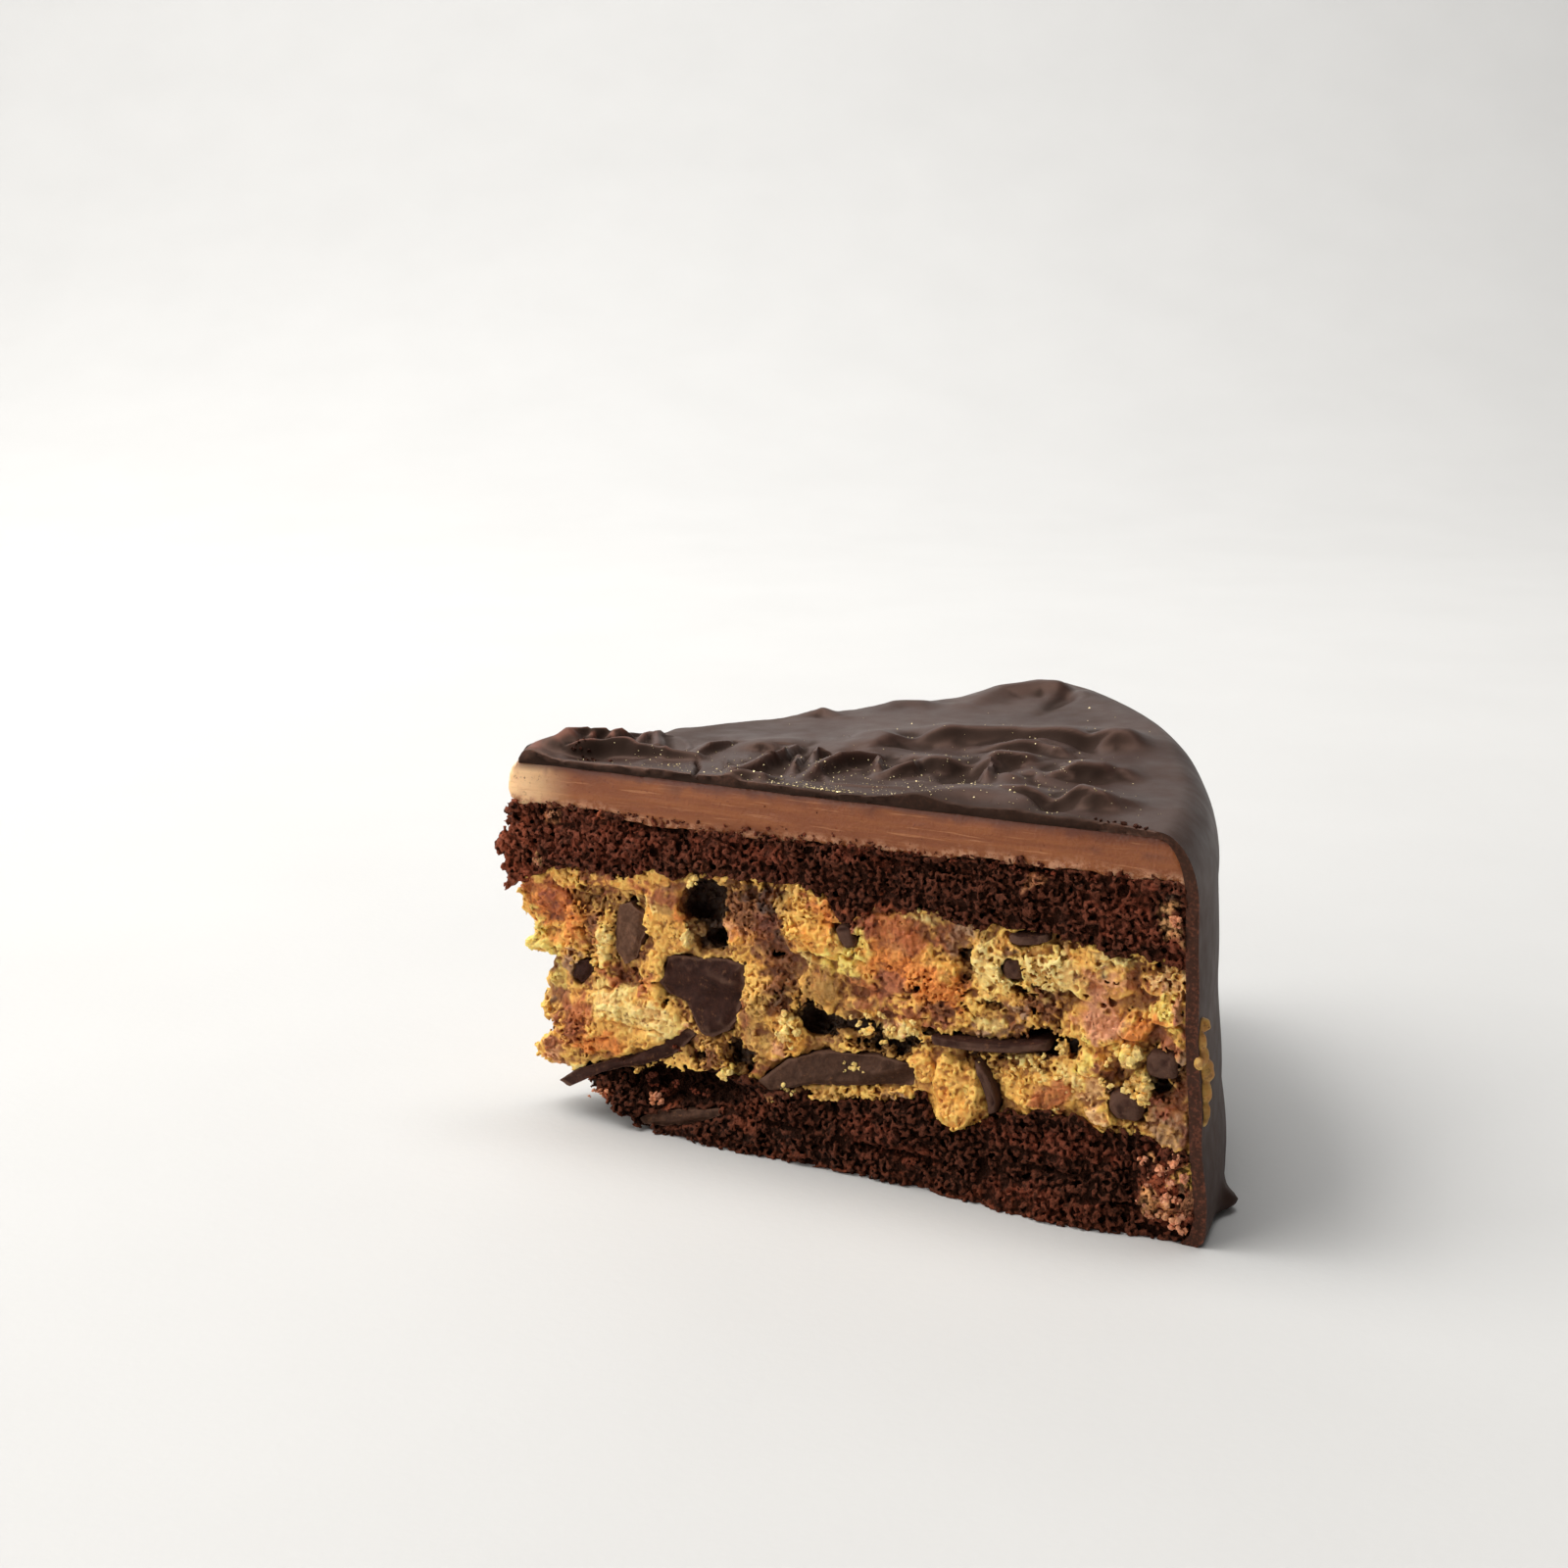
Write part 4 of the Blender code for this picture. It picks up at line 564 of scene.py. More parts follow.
def field_mesh(field, low, high, voxel, adaptivity=0.02):
    """Points and faces of the field's surface inside a box, closed where the box ends."""
    low, high = np.array(low, float), np.array(high, float)
    count = np.ceil((high - low) / voxel).astype(int) + 1
    xs, ys = ((low[n] + voxel * np.arange(count[n])).astype(np.float32) for n in (0, 1))
    dense = np.empty((count[2], count[0], count[1]), np.float32)
    gx, gy = (g.ravel() for g in np.meshgrid(xs, ys, indexing="ij"))

    def fill(k):
        z = np.float32(low[2] + voxel * k)
        dense[k] = field(gx, gy, z).reshape(count[0], count[1])

    with ThreadPoolExecutor(WORKERS) as pool:
        list(pool.map(fill, range(count[2])))
    for end in (0, -1):
        for border in (np.s_[end], np.s_[:, end], np.s_[:, :, end]):
            dense[border] = np.maximum(dense[border], voxel)
    grid = openvdb.FloatGrid(1.0)
    grid.gridClass = openvdb.GridClass.LEVEL_SET
    grid.copyFromArray(dense)
    points, triangles, quads = grid.convertToPolygons(0.0, adaptivity)
    points = points[:, (1, 2, 0)] * voxel + low
    return points, triangles[:, ::-1], quads[:, ::-1]


def without_scraps(points, triangles, quads, smallest=60):
    """Drops loose scraps with fewer points than the smallest kept."""
    edges = [q[:, (a, (a + 1) % q.shape[1])] for q in (triangles, quads) if len(q)
             for a in range(q.shape[1])]
    edges = np.concatenate(edges).astype(np.int64)
    label, before = np.arange(len(points)), None
    while not np.array_equal(label, before):
        before, label = label, label.copy()
        ends = before[edges]
        low = ends.min(axis=1)
        for end in (0, 1):
            np.minimum.at(label, ends[:, end], low)
        label = label[label]
    keep = np.bincount(label, minlength=len(points))[label] >= smallest
    index = np.cumsum(keep) - 1
    return (points[keep], *(index[f[keep[f[:, 0]]]] if len(f) else f for f in (triangles, quads)))


def set_values(obj, name, values):
    """Stores one number for each point, for the material to read."""
    data = obj.data.attributes.new(name, "FLOAT", "POINT")
    data.data.foreach_set("value", np.asarray(values, np.float32))


def vectors_of(obj, kind):
    """Each point's vector of one kind, such as its place in metres or its normal."""
    flat = np.empty(len(obj.data.vertices) * 3, np.float32)
    obj.data.vertices.foreach_get(kind, flat)
    return flat.reshape(-1, 3)


def points_of(obj):
    return vectors_of(obj, "co") / MM


# Relief of the cut faces.

def polygon_distance(t, z, corners):
    """Distance outside a closed outline, negative inside."""
    best = np.full(np.shape(t), 1e6, np.float32)
    inside = np.zeros(np.shape(t), bool)
    for (t0, z0), (t1, z1) in zip(corners, corners[1:] + corners[:1]):
        best = np.minimum(best, np.hypot(*beside_run(t, z, t0, z0, t1, z1)[1:]))
        if z1 != z0:
            inside ^= ((z0 > z) != (z1 > z)) & (t < t0 + (z - z0) / (z1 - z0) * (t1 - t0))
    return np.where(inside, -best, best)


class Piece:
    """One chocolate piece: where it lies, and how far a place is from it."""

    def __init__(self, row):
        self.name, self.side, t, z, depth, self.halves, roll, self.bend, self.squareness = row
        self.roll = math.radians(roll)
        self.corners = OUTLINES.get(self.name)
        self.back_depth = depth + self.halves[1] * 0.9
        cos, sin = math.cos(HALF_ANGLE), math.sin(HALF_ANGLE)
        along, inward = Vector((cos, self.side * sin, 0)), Vector((sin, -self.side * cos, 0))
        up = Vector((0, 0, 1))
        self.middle = along * t + inward * depth + Vector((-ORIGIN_FROM_APEX, 0, z))
        turn = Matrix((along, up.cross(along), up)).transposed().to_4x4()
        turn = Matrix.Translation(self.middle) @ turn
        self.place = turn @ Matrix.Rotation(-math.radians(roll), 4, "Y")
        self.back = self.place.inverted()

    def outline(self, x, y, z, t, inward):
        """About the distance outside the piece's outline, seen from in front of the cut: what
        lies in front of the piece counts as inside it."""
        if self.corners:
            return np.maximum(polygon_distance(t, z, self.corners), inward - self.back_depth)
        b = self.back
        along, depth, up = (b[n][0] * x + b[n][1] * y + b[n][2] * z + b[n][3] for n in range(3))
        inward = np.maximum(-depth if self.side == FAR else depth, 0.0)
        a, c, h = self.halves
        up = up - self.bend * np.clip((along / a) ** 2, 0, 1.5)
        power = 2.0 / self.squareness
        total = np.abs(along / a) ** power + np.abs(inward / c) ** power + np.abs(up / h) ** power
        return (total ** (1.0 / power) - 1.0) * min(a, h) * 0.9


ALL_PIECES = [Piece(row) for row in PIECES]


def cavity(row, x, y, z, t, depth):
    """An open hollow with ragged walls: positive inside it, in millimetres."""
    t0, z0, half_t, half_z, amount = row
    reach = np.hypot((t - t0) / half_t, (z - z0) / half_z)
    ragged = 0.8 * grain(x, y, z, 2.4, 17.0) + 0.45 * grain(x, y, z, 1.0, 18.0)
    side = (1.1 - reach) * min(half_t, half_z) - 0.08 * depth
    return np.minimum(side + ragged * min(1.0, half_z), amount - depth + ragged)


def scattered(near, seed, t_range, z_range):
    """Like forms at other places, for the far cut face."""
    draw = np.random.default_rng(seed)
    rows = []
    for n, row in enumerate(near):
        share = (n + 0.5) / len(near)
        t = t_range[0] + (t_range[1] - t_range[0]) * ((share * 7.0 + draw.uniform(-0.05, 0.05)) % 1.0)
        rows.append((t, draw.uniform(*z_range), *row[2:]))
    return tuple(rows)


LUMPS_FAR = scattered(LUMPS_NEAR, 3, (10, 104), (14, 37))
HOLLOWS_FAR = scattered(HOLLOWS_NEAR, 4, (20, 102), (15, 37))
TONES_FAR = scattered(TONES_NEAR, 5, (10, 104), (13, 38))


class Layer:
    """A crumb layer as a field, with its own face relief and crumb."""

    def __init__(self, bottom, top, tip, face_depth, crumb, seed, half, span, cavities=()):
        self.bottom, self.top, self.tip = bottom, top, tip
        self.face_depth, self.crumb, self.seed = face_depth, crumb, seed
        self.half, self.span, self.cavities = half, span, cavities

    def __call__(self, x, y, z):
        result = np.full(x.shape, FIELD_BAND, np.float32)
        places = wedge_places(x, y)
        inside = np.minimum(places[NEAR][1], places[FAR][1])
        rim = layer_rim(z)
        worth = (inside > -ROUGH_ROOM) & (places["rim_radius"] < rim + FIELD_BAND)
        worth &= (y < 1.4) if self.half == NEAR else (y > -1.4)
        at = np.flatnonzero(worth)
        if not len(at):
            return result
        x, y = x[at], y[at]
        z = np.full(x.shape, z, np.float32)
        places = {key: (value[0][at], value[1][at]) if isinstance(value, tuple) else value[at]
                  for key, value in places.items()}
        shell = np.maximum(self.bottom(places, x, y, z) - z, z - self.top(places, x, y, z))
        shell = np.maximum(shell, places["rim_radius"] - rim)
        tip = smooth_through(self.tip, z[:1])[0]
        value = np.maximum(shell, np.full_like(shell, -FIELD_BAND))
        close = np.flatnonzero((inside[at] < CLOSE_TO_CUT) & (shell < FIELD_BAND))
        if len(close):
            value[close] = np.maximum(value[close], self.open_face(places, x, y, z, close, tip))
        value = np.maximum(value, y - 0.2 if self.half == NEAR else -0.2 - y)
        value = np.maximum(value, np.maximum(self.span[0] - x, x - self.span[1]))
        result[at] = np.clip(value, -FIELD_BAND, FIELD_BAND)
        return result

    def open_face(self, places, x, y, z, close, tip):
        """The cut faces and the ragged tip, for the places close to a cut."""
        x, y, z = x[close], y[close], z[close]
        t, depth = (part[close] for part in places[self.half])
        other_depth = places[-self.half][1][close]
        room = 0.42 * np.maximum(places["radius"][close], 2.0) * HALF_ANGLE
        face = np.minimum(self.face_depth(t, z, self.half), room) - depth
        face = np.maximum(face, -0.4 - other_depth)
        for row in self.cavities:
            by = np.flatnonzero((np.abs(t - row[0]) < row[2] + 1.5) & (np.abs(z - row[1]) < row[3] + 1.5))
            if len(by):
                open_here = cavity(row, x[by], y[by], z[by], t[by], depth[by])
                face[by] = np.maximum(face[by], np.minimum(open_here, room[by] - depth[by]))
        ragged = 0.9 * grain(x, y, z, 2.2, self.seed + 2) + 0.5 * grain(x, y, z, 0.9, self.seed + 3)
        face = np.maximum(face, tip + ragged - places["out"][close])
        rough = np.flatnonzero(np.abs(face) < ROUGH_ROOM)
        face[rough] = self.crumb(face[rough], t[rough], (x[rough], y[rough], z[rough]))
        return self.clear_pieces(face, x, y, z, t, depth)

    def clear_pieces(self, face, x, y, z, t, depth):
        """Opens the crumb in front of each chocolate piece."""
        for piece in ALL_PIECES:
            reach = max(piece.halves) + 3.0
            m = piece.middle
            if piece.side != self.half or not len(z) or abs(z[0] - m.z) > reach:
                continue
            by = np.flatnonzero((np.abs(x - m.x) < reach) & (np.abs(y - m.y) < reach))
            if len(by):
                here = x[by], y[by], z[by]
                uneven = 0.2 * grain(*here, 1.7, 3.0) + 0.5 * grain(*here, 0.8, 9.0)
                out = piece.outline(*here, t[by], depth[by])
                face[by] = np.maximum(face[by], -(out - 0.1 + uneven))
        return face


def lumpy(face, place, size, seed, stand_out, go_in, least, more):
    """The face broken into lumps of the given size, and how far they stand out and the gaps
    between them go in. A lump's radius is the least and a random share of more."""
    apart, own = crumbs(*place, size, seed)
    return np.minimum(face + go_in, np.maximum(face - stand_out, apart - (least + more * own)))


def pitted(face, place, size, seed, least, more, share=1.0, extra=0.0):
    """The face with round pores, one at most in each cube of the given size."""
    apart, own = crumbs(*place, size, seed)
    return np.maximum(face, (least + more * own) * share - apart - extra)


def sponge_crumb(pit_size, seed):
    """Open dark crumb: fine grains on clumps, with pores between."""
    def crumb(face, t, place):
        face = face + 0.2 + 0.6 * grain(*place, 2.8, seed) + 0.3 * grain(*place, 1.3, seed + 1)
        face = lumpy(face, place, 1.35, seed + 2, 0.22, 0.18, 0.46, 0.34)
        face = lumpy(face, place, 0.72, seed, 0.26, 0.2, 0.24, 0.24)
        face = pitted(face, place, pit_size, seed + 3, 0.25, 0.5)
        face = pitted(face, place, 4.4, seed + 6, 0.0, 0.95, 1.0, 0.3 * grain(*place, 0.9, seed + 7))
        return face + 0.12 * grain(*place, 0.45, seed + 5)
    return crumb


def filling_crumb(face, t, place):
    """Moist yellow crumb: granular lumps, smoother where cut, porous towards the wall."""
    loose = smooth_step(-0.1, 0.35, grain(*place, 5.0, 31.0))
    porous = smooth_step(73, 79, t) * smooth_step(28, 31, place[2])
    face = face + 0.8 * grain(*place, 4.0, 32.0) + 0.35 * grain(*place, 1.6, 33.0)
    for size, seed, stand_out, go_in, least, more, always, where_loose in (
            (2.2, 35, 0.45, 0.3, 0.8, 0.5, 0.25, 0.55),
            (1.15, 34, 0.26, 0.2, 0.42, 0.3, 0.3, 0.55),
            (0.6, 37, 0.16, 0.14, 0.2, 0.2, 0.8, 0.2)):
        lumps = lumpy(face, place, size, seed, stand_out, go_in, least, more)
        face = face + (lumps - face) * (always + where_loose * loose)
    face = pitted(face, place, 3.0, 36, 0.1, 0.75, 0.4 + 0.6 * loose)
    face = pitted(face, place, 1.45, 38, 0.2, 0.42, porous)
    return face + 0.07 * grain(*place, 0.4, 39.0)


def filling_face(t, z, side):
    """Depth of the filling's cut face, made of lumps with flat cut fronts and thin cracks."""
    recess = 1.3
    depth = np.full(np.shape(t), recess, np.float32)
    wobble_t = 1.1 * flat_grain(t, z, 3.0, 5.0) + 0.5 * flat_grain(t, z, 1.2, 7.0)
    wobble_z = 1.1 * flat_grain(t, z, 3.0, 6.0) + 0.5 * flat_grain(t, z, 1.2, 8.0)
    for t0, z0, half_t, half_z, roll, front in LUMPS_NEAR if side == NEAR else LUMPS_FAR:
        cos, sin = math.cos(math.radians(roll)), math.sin(math.radians(roll))
        a = ((t + wobble_t - t0) * cos + (z + wobble_z - z0) * sin) / half_t
        b = (-(t + wobble_t - t0) * sin + (z + wobble_z - z0) * cos) / half_z
        reach = np.sqrt(a * a + b * b)
        edge = smooth_step(0.8, 1.15, reach)
        depth = np.minimum(depth, front + 0.15 * reach ** 2 + (recess + 0.6) * edge)
    for *ends, amount in CRACKS if side == NEAR else ():
        waver = 0.5 * flat_grain(t, z, 1.3, 41.0)
        apart = np.hypot(*beside_run(t, z + waver, *ends)[1:])
        depth = depth + amount * np.exp(-(apart / 0.24) ** 2)
    return depth


def plain_face(hollows, seed, bulge=None):
    far_hollows = tuple((t0 + 11.0, *row) for t0, *row in hollows)

    def face(t, z, side):
        depth = 0.1 + 0.5 * grain(t, z, np.full_like(t, side * 9.0), 5.0, seed)
        for t0, z0, half_t, half_z, amount in hollows if side == NEAR else far_hollows:
            depth = depth + amount * bump(t - t0, z - z0, half_t, half_z)
        if bulge and side == NEAR:
            t0, half_t, half_z, amount = bulge
            depth = depth - amount * bump(t - t0, z, half_t, half_z)
        return depth
    return face


def uneven_between(level, near_heights, seed, offset):
    """Surface between two layers with a crumbly line where it meets the cut."""
    def height(places, x, y, z):
        line = meeting_height(places, level, near_heights, seed)
        open_edge = 1.0 - smooth_step(1.0, 5.0, np.minimum(places[NEAR][1], places[FAR][1]))
        wander = 0.9 * flat_grain(x, y, 2.4, seed + 1) + 0.7 * grain(x, y, z, 0.9, seed + 2)
        return line + open_edge * wander + offset
    return height


def base_layer(half, span):
    top = uneven_between(BASE_TOP, BASE_TOP_NEAR, 15.0, OVERLAP)
    return Layer(lambda places, x, y, z: np.zeros_like(x), top, BASE_TIP,
                 plain_face(HOLLOWS_BASE, 21.0, FOOT_BULGE), sponge_crumb(2.1, 40), 50.0, half, span)


def filling_layer(half, span):
    bottom = uneven_between(BASE_TOP, BASE_TOP_NEAR, 15.0, -OVERLAP)
    top = uneven_between(FILLING_TOP, FILLING_TOP_NEAR, 27.0, OVERLAP)
    cavities = HOLLOWS_NEAR if half == NEAR else HOLLOWS_FAR
    return Layer(bottom, top, FILLING_TIP, filling_face, filling_crumb, 60.0, half, span, cavities)


def upper_layer(half, span):
    bottom = uneven_between(FILLING_TOP, FILLING_TOP_NEAR, 27.0, -OVERLAP)
    top = uneven_between(UPPER_SPONGE_TOP, CREAM_BOTTOM_NEAR, 71.0, 0.25)
    return Layer(bottom, top, UPPER_TIP, plain_face(HOLLOWS_UPPER, 47.0), sponge_crumb(2.0, 80),
                 70.0, half, span)


def make_part(name, layer, levels, voxel, mat, budget):
    """One part of a layer: the near or far half, or a stretch of it."""
    reach = WIDEST * math.sin(HALF_ANGLE) + 3.0
    first, last = layer.span
    low = (max(first - 1.0, FIRST_X), -reach if layer.half == NEAR else -1.0, levels[0])
    high = (min(last + 1.0, LAST_X), 1.0 if layer.half == NEAR else reach, levels[1])
    points, triangles, quads = without_scraps(*field_mesh(layer, low, high, voxel))
    obj = add_mesh(name, points, (triangles, quads), mat)
    shorten(obj, budget)
    return obj


def shorten(obj, budget):
    """Fewer triangles where the surface is plainest, down to the budget."""
    count = sum(len(p.vertices) - 2 for p in obj.data.polygons)
    if count > budget:
        obj.modifiers.new("Fewer faces", "DECIMATE").ratio = budget / count
        graph = bpy.context.evaluated_depsgraph_get()
        mesh = bpy.data.meshes.new_from_object(obj.evaluated_get(graph), depsgraph=graph)
        obj.modifiers.clear()
        old, obj.data = obj.data, mesh
        bpy.data.meshes.remove(old)


# The coating.

def fold_rise(t, inset, near_width, far_width, crest):
    """Rise of one crest at a place on the top: a rounded ridge with slopes of two widths."""
    best = np.zeros_like(t)
    near_width = near_width * FOLD_STEEPNESS
    for (t0, s0, h0), (t1, s1, h1) in zip(crest, crest[1:]):
        share, apart_t, apart_s = beside_run(t, inset, t0, s0, t1, s1)
        run_t, run_s = t1 - t0, s1 - s0
        apart = np.hypot(apart_t, apart_s)
        turn = run_t * apart_s - run_s * apart_t
        beyond = 0.5 + 0.5 * turn / np.maximum(math.hypot(run_t, run_s) * apart, 1e-6)
        width = near_width + (far_width - near_width) * beyond
        best = np.maximum(best, (h0 + (h1 - h0) * share) * np.exp(-(apart / width) ** 2))
    return best


def plain_top(radius, across):
    """Height of the top before its folds."""
    inner = FAR_RISE * smooth_step(-0.7, 0.5, across)
    rim = smooth_through(RIM_RISE, across)
    return TOP_HEIGHT + inner + (rim - inner) * smooth_step(72.0, 98.0, radius)


def coating_top(radius, across):
    angle = (across + 1) * HALF_ANGLE
    true_radius = radius - flatness(radius, across)
    t, inset = true_radius * np.cos(angle), true_radius * np.sin(angle)
    warp_t = t + 0.35 * flat_grain(t, inset, 3.4, 91.0)
    warp_s = inset + 0.35 * flat_grain(t, inset, 3.4, 92.0)
    rise = sum(fold_rise(warp_t, warp_s, *fold) ** 4 for fold in FOLDS) ** 0.25
    for t0, s0, half_t, half_s, amount in FOLD_HOLLOWS:
        rise = rise - amount * bump(warp_t - t0, warp_s - s0, half_t, half_s)
    rise = rise + 0.25 * flat_grain(t, inset, 16.0, 93.0) + 0.09 * flat_grain(t, inset, 3.0, 94.0)
    crease = np.exp(-(grain(t + 0.7 * inset, inset - 0.3 * t, 0 * t, 5.0, 97.5) / 0.11) ** 2)
    patch = smooth_step(-0.1, 0.25, flat_grain(t, inset, 7.0, 98.5))
    rise = rise + CREASE_RISE * crease * patch * bump(t - 42.0, inset - 7.0, 34.0, 9.0)
    rise = rise + NEAR_EDGE_RISE * np.exp(-inset / 2.0)
    (t0, s0), (t1, s1) = TOP_CRACK
    line_t = t0 + (t1 - t0) * (inset - s0) / (s1 - s0) + 0.6 * flat_grain(inset, 0 * t, 2.6, 95.5)
    rise = rise - 0.8 * np.exp(-((t - line_t) / 0.28) ** 2) * smooth_step(max(s0, s1), max(s0, s1) - 2, inset)
    plain_rim = smooth_step(0.0, 7.0, FLAT_END + 1.0 - radius)
    return plain_top(radius, across) + np.maximum(rise, -0.7) * plain_rim


def foot_bulge(z, across):
    """Extra radius of the coating where it ran out on the surface below."""
    run = 0.35 * np.exp(-(z / 2.2) ** 2) * (1.0 + flat_grain(across * 50, 0 * across, 6.0, 2.0))
    level, blob_across, half_z, half_across, amount = FOOT_BLOB
    blob = bump(z - level, across - blob_across, half_z, half_across) ** 0.6
    lumps = 1.0 + 0.35 * flat_grain(across * 50, z, 1.6, 3.0)
    return np.maximum(run, 0.0) + amount * blob * lumps


def corner_point(share, inner=0.0, lower=0.0):
    """Radius and height along the coating's corner, from the wall at 0 to the top at 1, moved
    inwards and down."""
    angle = math.pi / 2 * share
    height = TOP_HEIGHT - CORNER_START
    return (FLAT_END + (CORNER_WIDTH - inner) * math.cos(angle),
            CORNER_START + (height - lower) * math.sin(angle))


def coating_rows(across, top_steps, wall_steps, under_steps):
    """Closed outline of the coating for each strand across the wedge: the underside outwards,
    then the wall upwards, then the top back to the tip. Each row holds radius and z."""
    under = TOP_HEIGHT - TOP_THICKNESS
    ones = np.ones_like(across)
    tip = COATING_TIP + 0.5 * grain(across * 3, ones, ones, 1.0, 95.0)
    lift = smooth_through(RIM_RISE, across)
    inner, outer = [], []
    for step in range(under_steps):
        radius = tip + (FLAT_END - tip) * step / under_steps
        inner.append((radius, under + 0.15 * grain(radius, across * 30, ones, 2.4, 96.0)))
    for step in range(INNER_CORNER_STEPS + 1):
        radius, z = corner_point(1 - step / INNER_CORNER_STEPS, COATING_THICKNESS, TOP_THICKNESS)
        inner.append((ones * radius, ones * z))
    for z in INNER_WALL_LEVELS:
        inner.append((ones * (smooth_through(WALL, z) - COATING_THICKNESS), ones * z))
    for step in range(wall_steps):
        z = CORNER_START * (step / wall_steps) ** 1.3 * ones
        swell = 0.2 * grain(across * 50, z, ones, 14.0, 97.0) * smooth_step(0.0, 6.0, z)
        outer.append((smooth_through(WALL, z) + foot_bulge(z, across) + swell, z))
    for step in range(CORNER_STEPS + 1):
        radius, z = corner_point(step / CORNER_STEPS)
        outer.append((ones * radius, z + lift * step / CORNER_STEPS))
    edge_mm = (1.0 - np.abs(across)) * HALF_ANGLE
    for share in top_shares(top_steps):
        radius = FLAT_END + (tip - FLAT_END) * share
        droop = 1.0 * np.exp(-(radius - tip) / 0.6)
        worn = 0.25 + 0.7 * np.maximum(grain(radius, np.sign(across), ones, 1.5, 98.0), 0.0)
        worn = worn * np.exp(-(edge_mm * radius / 0.22))
        outer.append((radius, coating_top(radius, across) - droop - worn))
    return inner, outer


def top_shares(steps):
    """Shares of the way from the rim to the tip, closer together where the top is cracked."""
    first, last = ((FLAT_END - radius) / (FLAT_END - COATING_TIP) for radius in (36.0, 27.0))
    return np.sort(np.concatenate((np.linspace(0, 1, steps + 1)[1:], np.linspace(first, last, 16))))


def make_coating(mat):
    across = np.linspace(-1.0, 1.0, COATING_STRANDS + 1)
    across = np.concatenate(([-1.0, -0.9972, -0.994], across[1:-1], [0.994, 0.9972, 1.0]))
    inner, outer = coating_rows(across, 208, 52, 24)
    radius, height = (np.array(part) for part in zip(*inner, *outer))
    angle = across * HALF_ANGLE
    true_radius = radius - flatness(radius, across)
    out, sideways = true_radius * np.cos(angle), true_radius * np.sin(angle)
    sideways = sideways + across * TIP_HALF_WIDTH * np.exp(-np.maximum(radius, 0.0) / TIP_FADE)
    points = np.stack([out - ORIGIN_FROM_APEX, sideways, height], axis=-1)
    ring, columns = height.shape
    index = np.arange(ring * columns).reshape(ring, columns)
    after = np.roll(index, -1, axis=0)
    quads = np.stack([index[:, 1:], after[:, 1:], after[:, :-1], index[:, :-1]], axis=-1).reshape(-1, 4)
    points = points.reshape(-1, 3)
    triangles = []
    for column, side in ((0, NEAR), (columns - 1, FAR)):
        extra, cap = cut_cap(radius[:, column], height[:, column], len(inner), side)
        numbers = np.concatenate((index[:, column], len(points) + np.arange(len(extra))))
        cap = numbers[cap]
        triangles.append(cap if side == NEAR else cap[:, ::-1])
        points = np.concatenate((points, extra))
    obj = add_mesh("coating_fine", points, (quads, np.concatenate(triangles)), mat)
    obj.data.set_sharp_from_angle(angle=math.radians(65))
    return obj


def cut_cap(radius, height, inner_count, side):
    """Triangles over the coating's cut end, with a few rows of uneven points between the
    underside and the top."""
    outline = [Vector(p) for p in zip(radius.tolist(), height.tolist())]
    outer_r, outer_z = radius[inner_count:], height[inner_count:]
    run = np.stack([np.gradient(outer_r), np.gradient(outer_z)], 1)
    run /= np.maximum(np.linalg.norm(run, axis=1, keepdims=True), 1e-6)
    outer_r, outer_z, run = (part[3:-6:2] for part in (outer_r, outer_z, run))
    extra = []
    for depth in (0.3, 0.6, 0.85):
        inward = depth + 0.08 * grain(outer_r, outer_z, depth * 9 + 0 * outer_r, 0.8, 99.0)
        extra.append(np.stack([outer_r - run[:, 1] * inward, outer_z + run[:, 0] * inward], 1))
    extra = np.concatenate(extra)
    flat = outline + [Vector(p) for p in extra.tolist()]
    _, _, faces, origin, _, _ = delaunay_2d_cdt(flat, [], [list(range(len(outline)))], 1, 1e-5)
    order = np.array([ids[0] if ids else -1 for ids in origin])
    cap = order[np.array(faces)]
    r, z = extra.T
    depth = 0.08 + 0.24 * grain(r, z, 0 * r + side, 1.1, 100.0)
    return face_point(side, r, z, depth), cap[(cap >= 0).all(axis=1)]


# The cream.

def cream_field(x, y, z):
    places = wedge_places(x, y)
    zs = np.full(x.shape, z, np.float32)
    low = meeting_height(places, UPPER_SPONGE_TOP, CREAM_BOTTOM_NEAR, 71.0) - 0.3
    low = low + 0.5 * grain(x, y, zs, 1.6, 105.0)
    high = TOP_HEIGHT - TOP_THICKNESS + OVERLAP
    edge = 0.2 * ((zs - (48.3 + high) / 2) / ((high - 48.3) / 2)) ** 4
    wave = 0.16 * grain(x, y, zs, (9.0, 9.0, 3.0), 101.0) + 0.10 * grain(x, y, zs, (5.0, 5.0, 0.7), 102.0)
    wave = wave + 0.06 * grain(x, y, zs, 1.2, 103.0) + 0.16
    wave = wave + 0.1 * grain(x, y, zs, 0.6, 106.0) * (1 - smooth_step(0.4, 1.6, zs - low))
    face = np.maximum(edge + wave - places[NEAR][1], edge + wave - places[FAR][1])
    tip = smooth_through(CREAM_TIP, zs) + 0.2 * grain(x, y, zs, 2.0, 104.0)
    face = np.maximum(face, tip - places["out"])
    value = np.maximum(face, np.maximum(low - zs, zs - high))
    value = np.maximum(value, places["rim_radius"] - layer_rim(zs))
    return np.clip(value, -FIELD_BAND, FIELD_BAND)


def make_cream(mat):
    reach = WIDEST * math.sin(HALF_ANGLE) + 2.0
    low = (-ORIGIN_FROM_APEX - 2.0, -reach, 45.8)
    high = (WIDEST - ORIGIN_FROM_APEX, reach, TOP_HEIGHT + 0.6)
    points, triangles, quads = field_mesh(cream_field, low, high, 0.3, 0.01)
    obj = add_mesh("cream_fine", points, (triangles, quads), mat)
    shorten(obj, 42000)
    return obj


# Chocolate pieces.

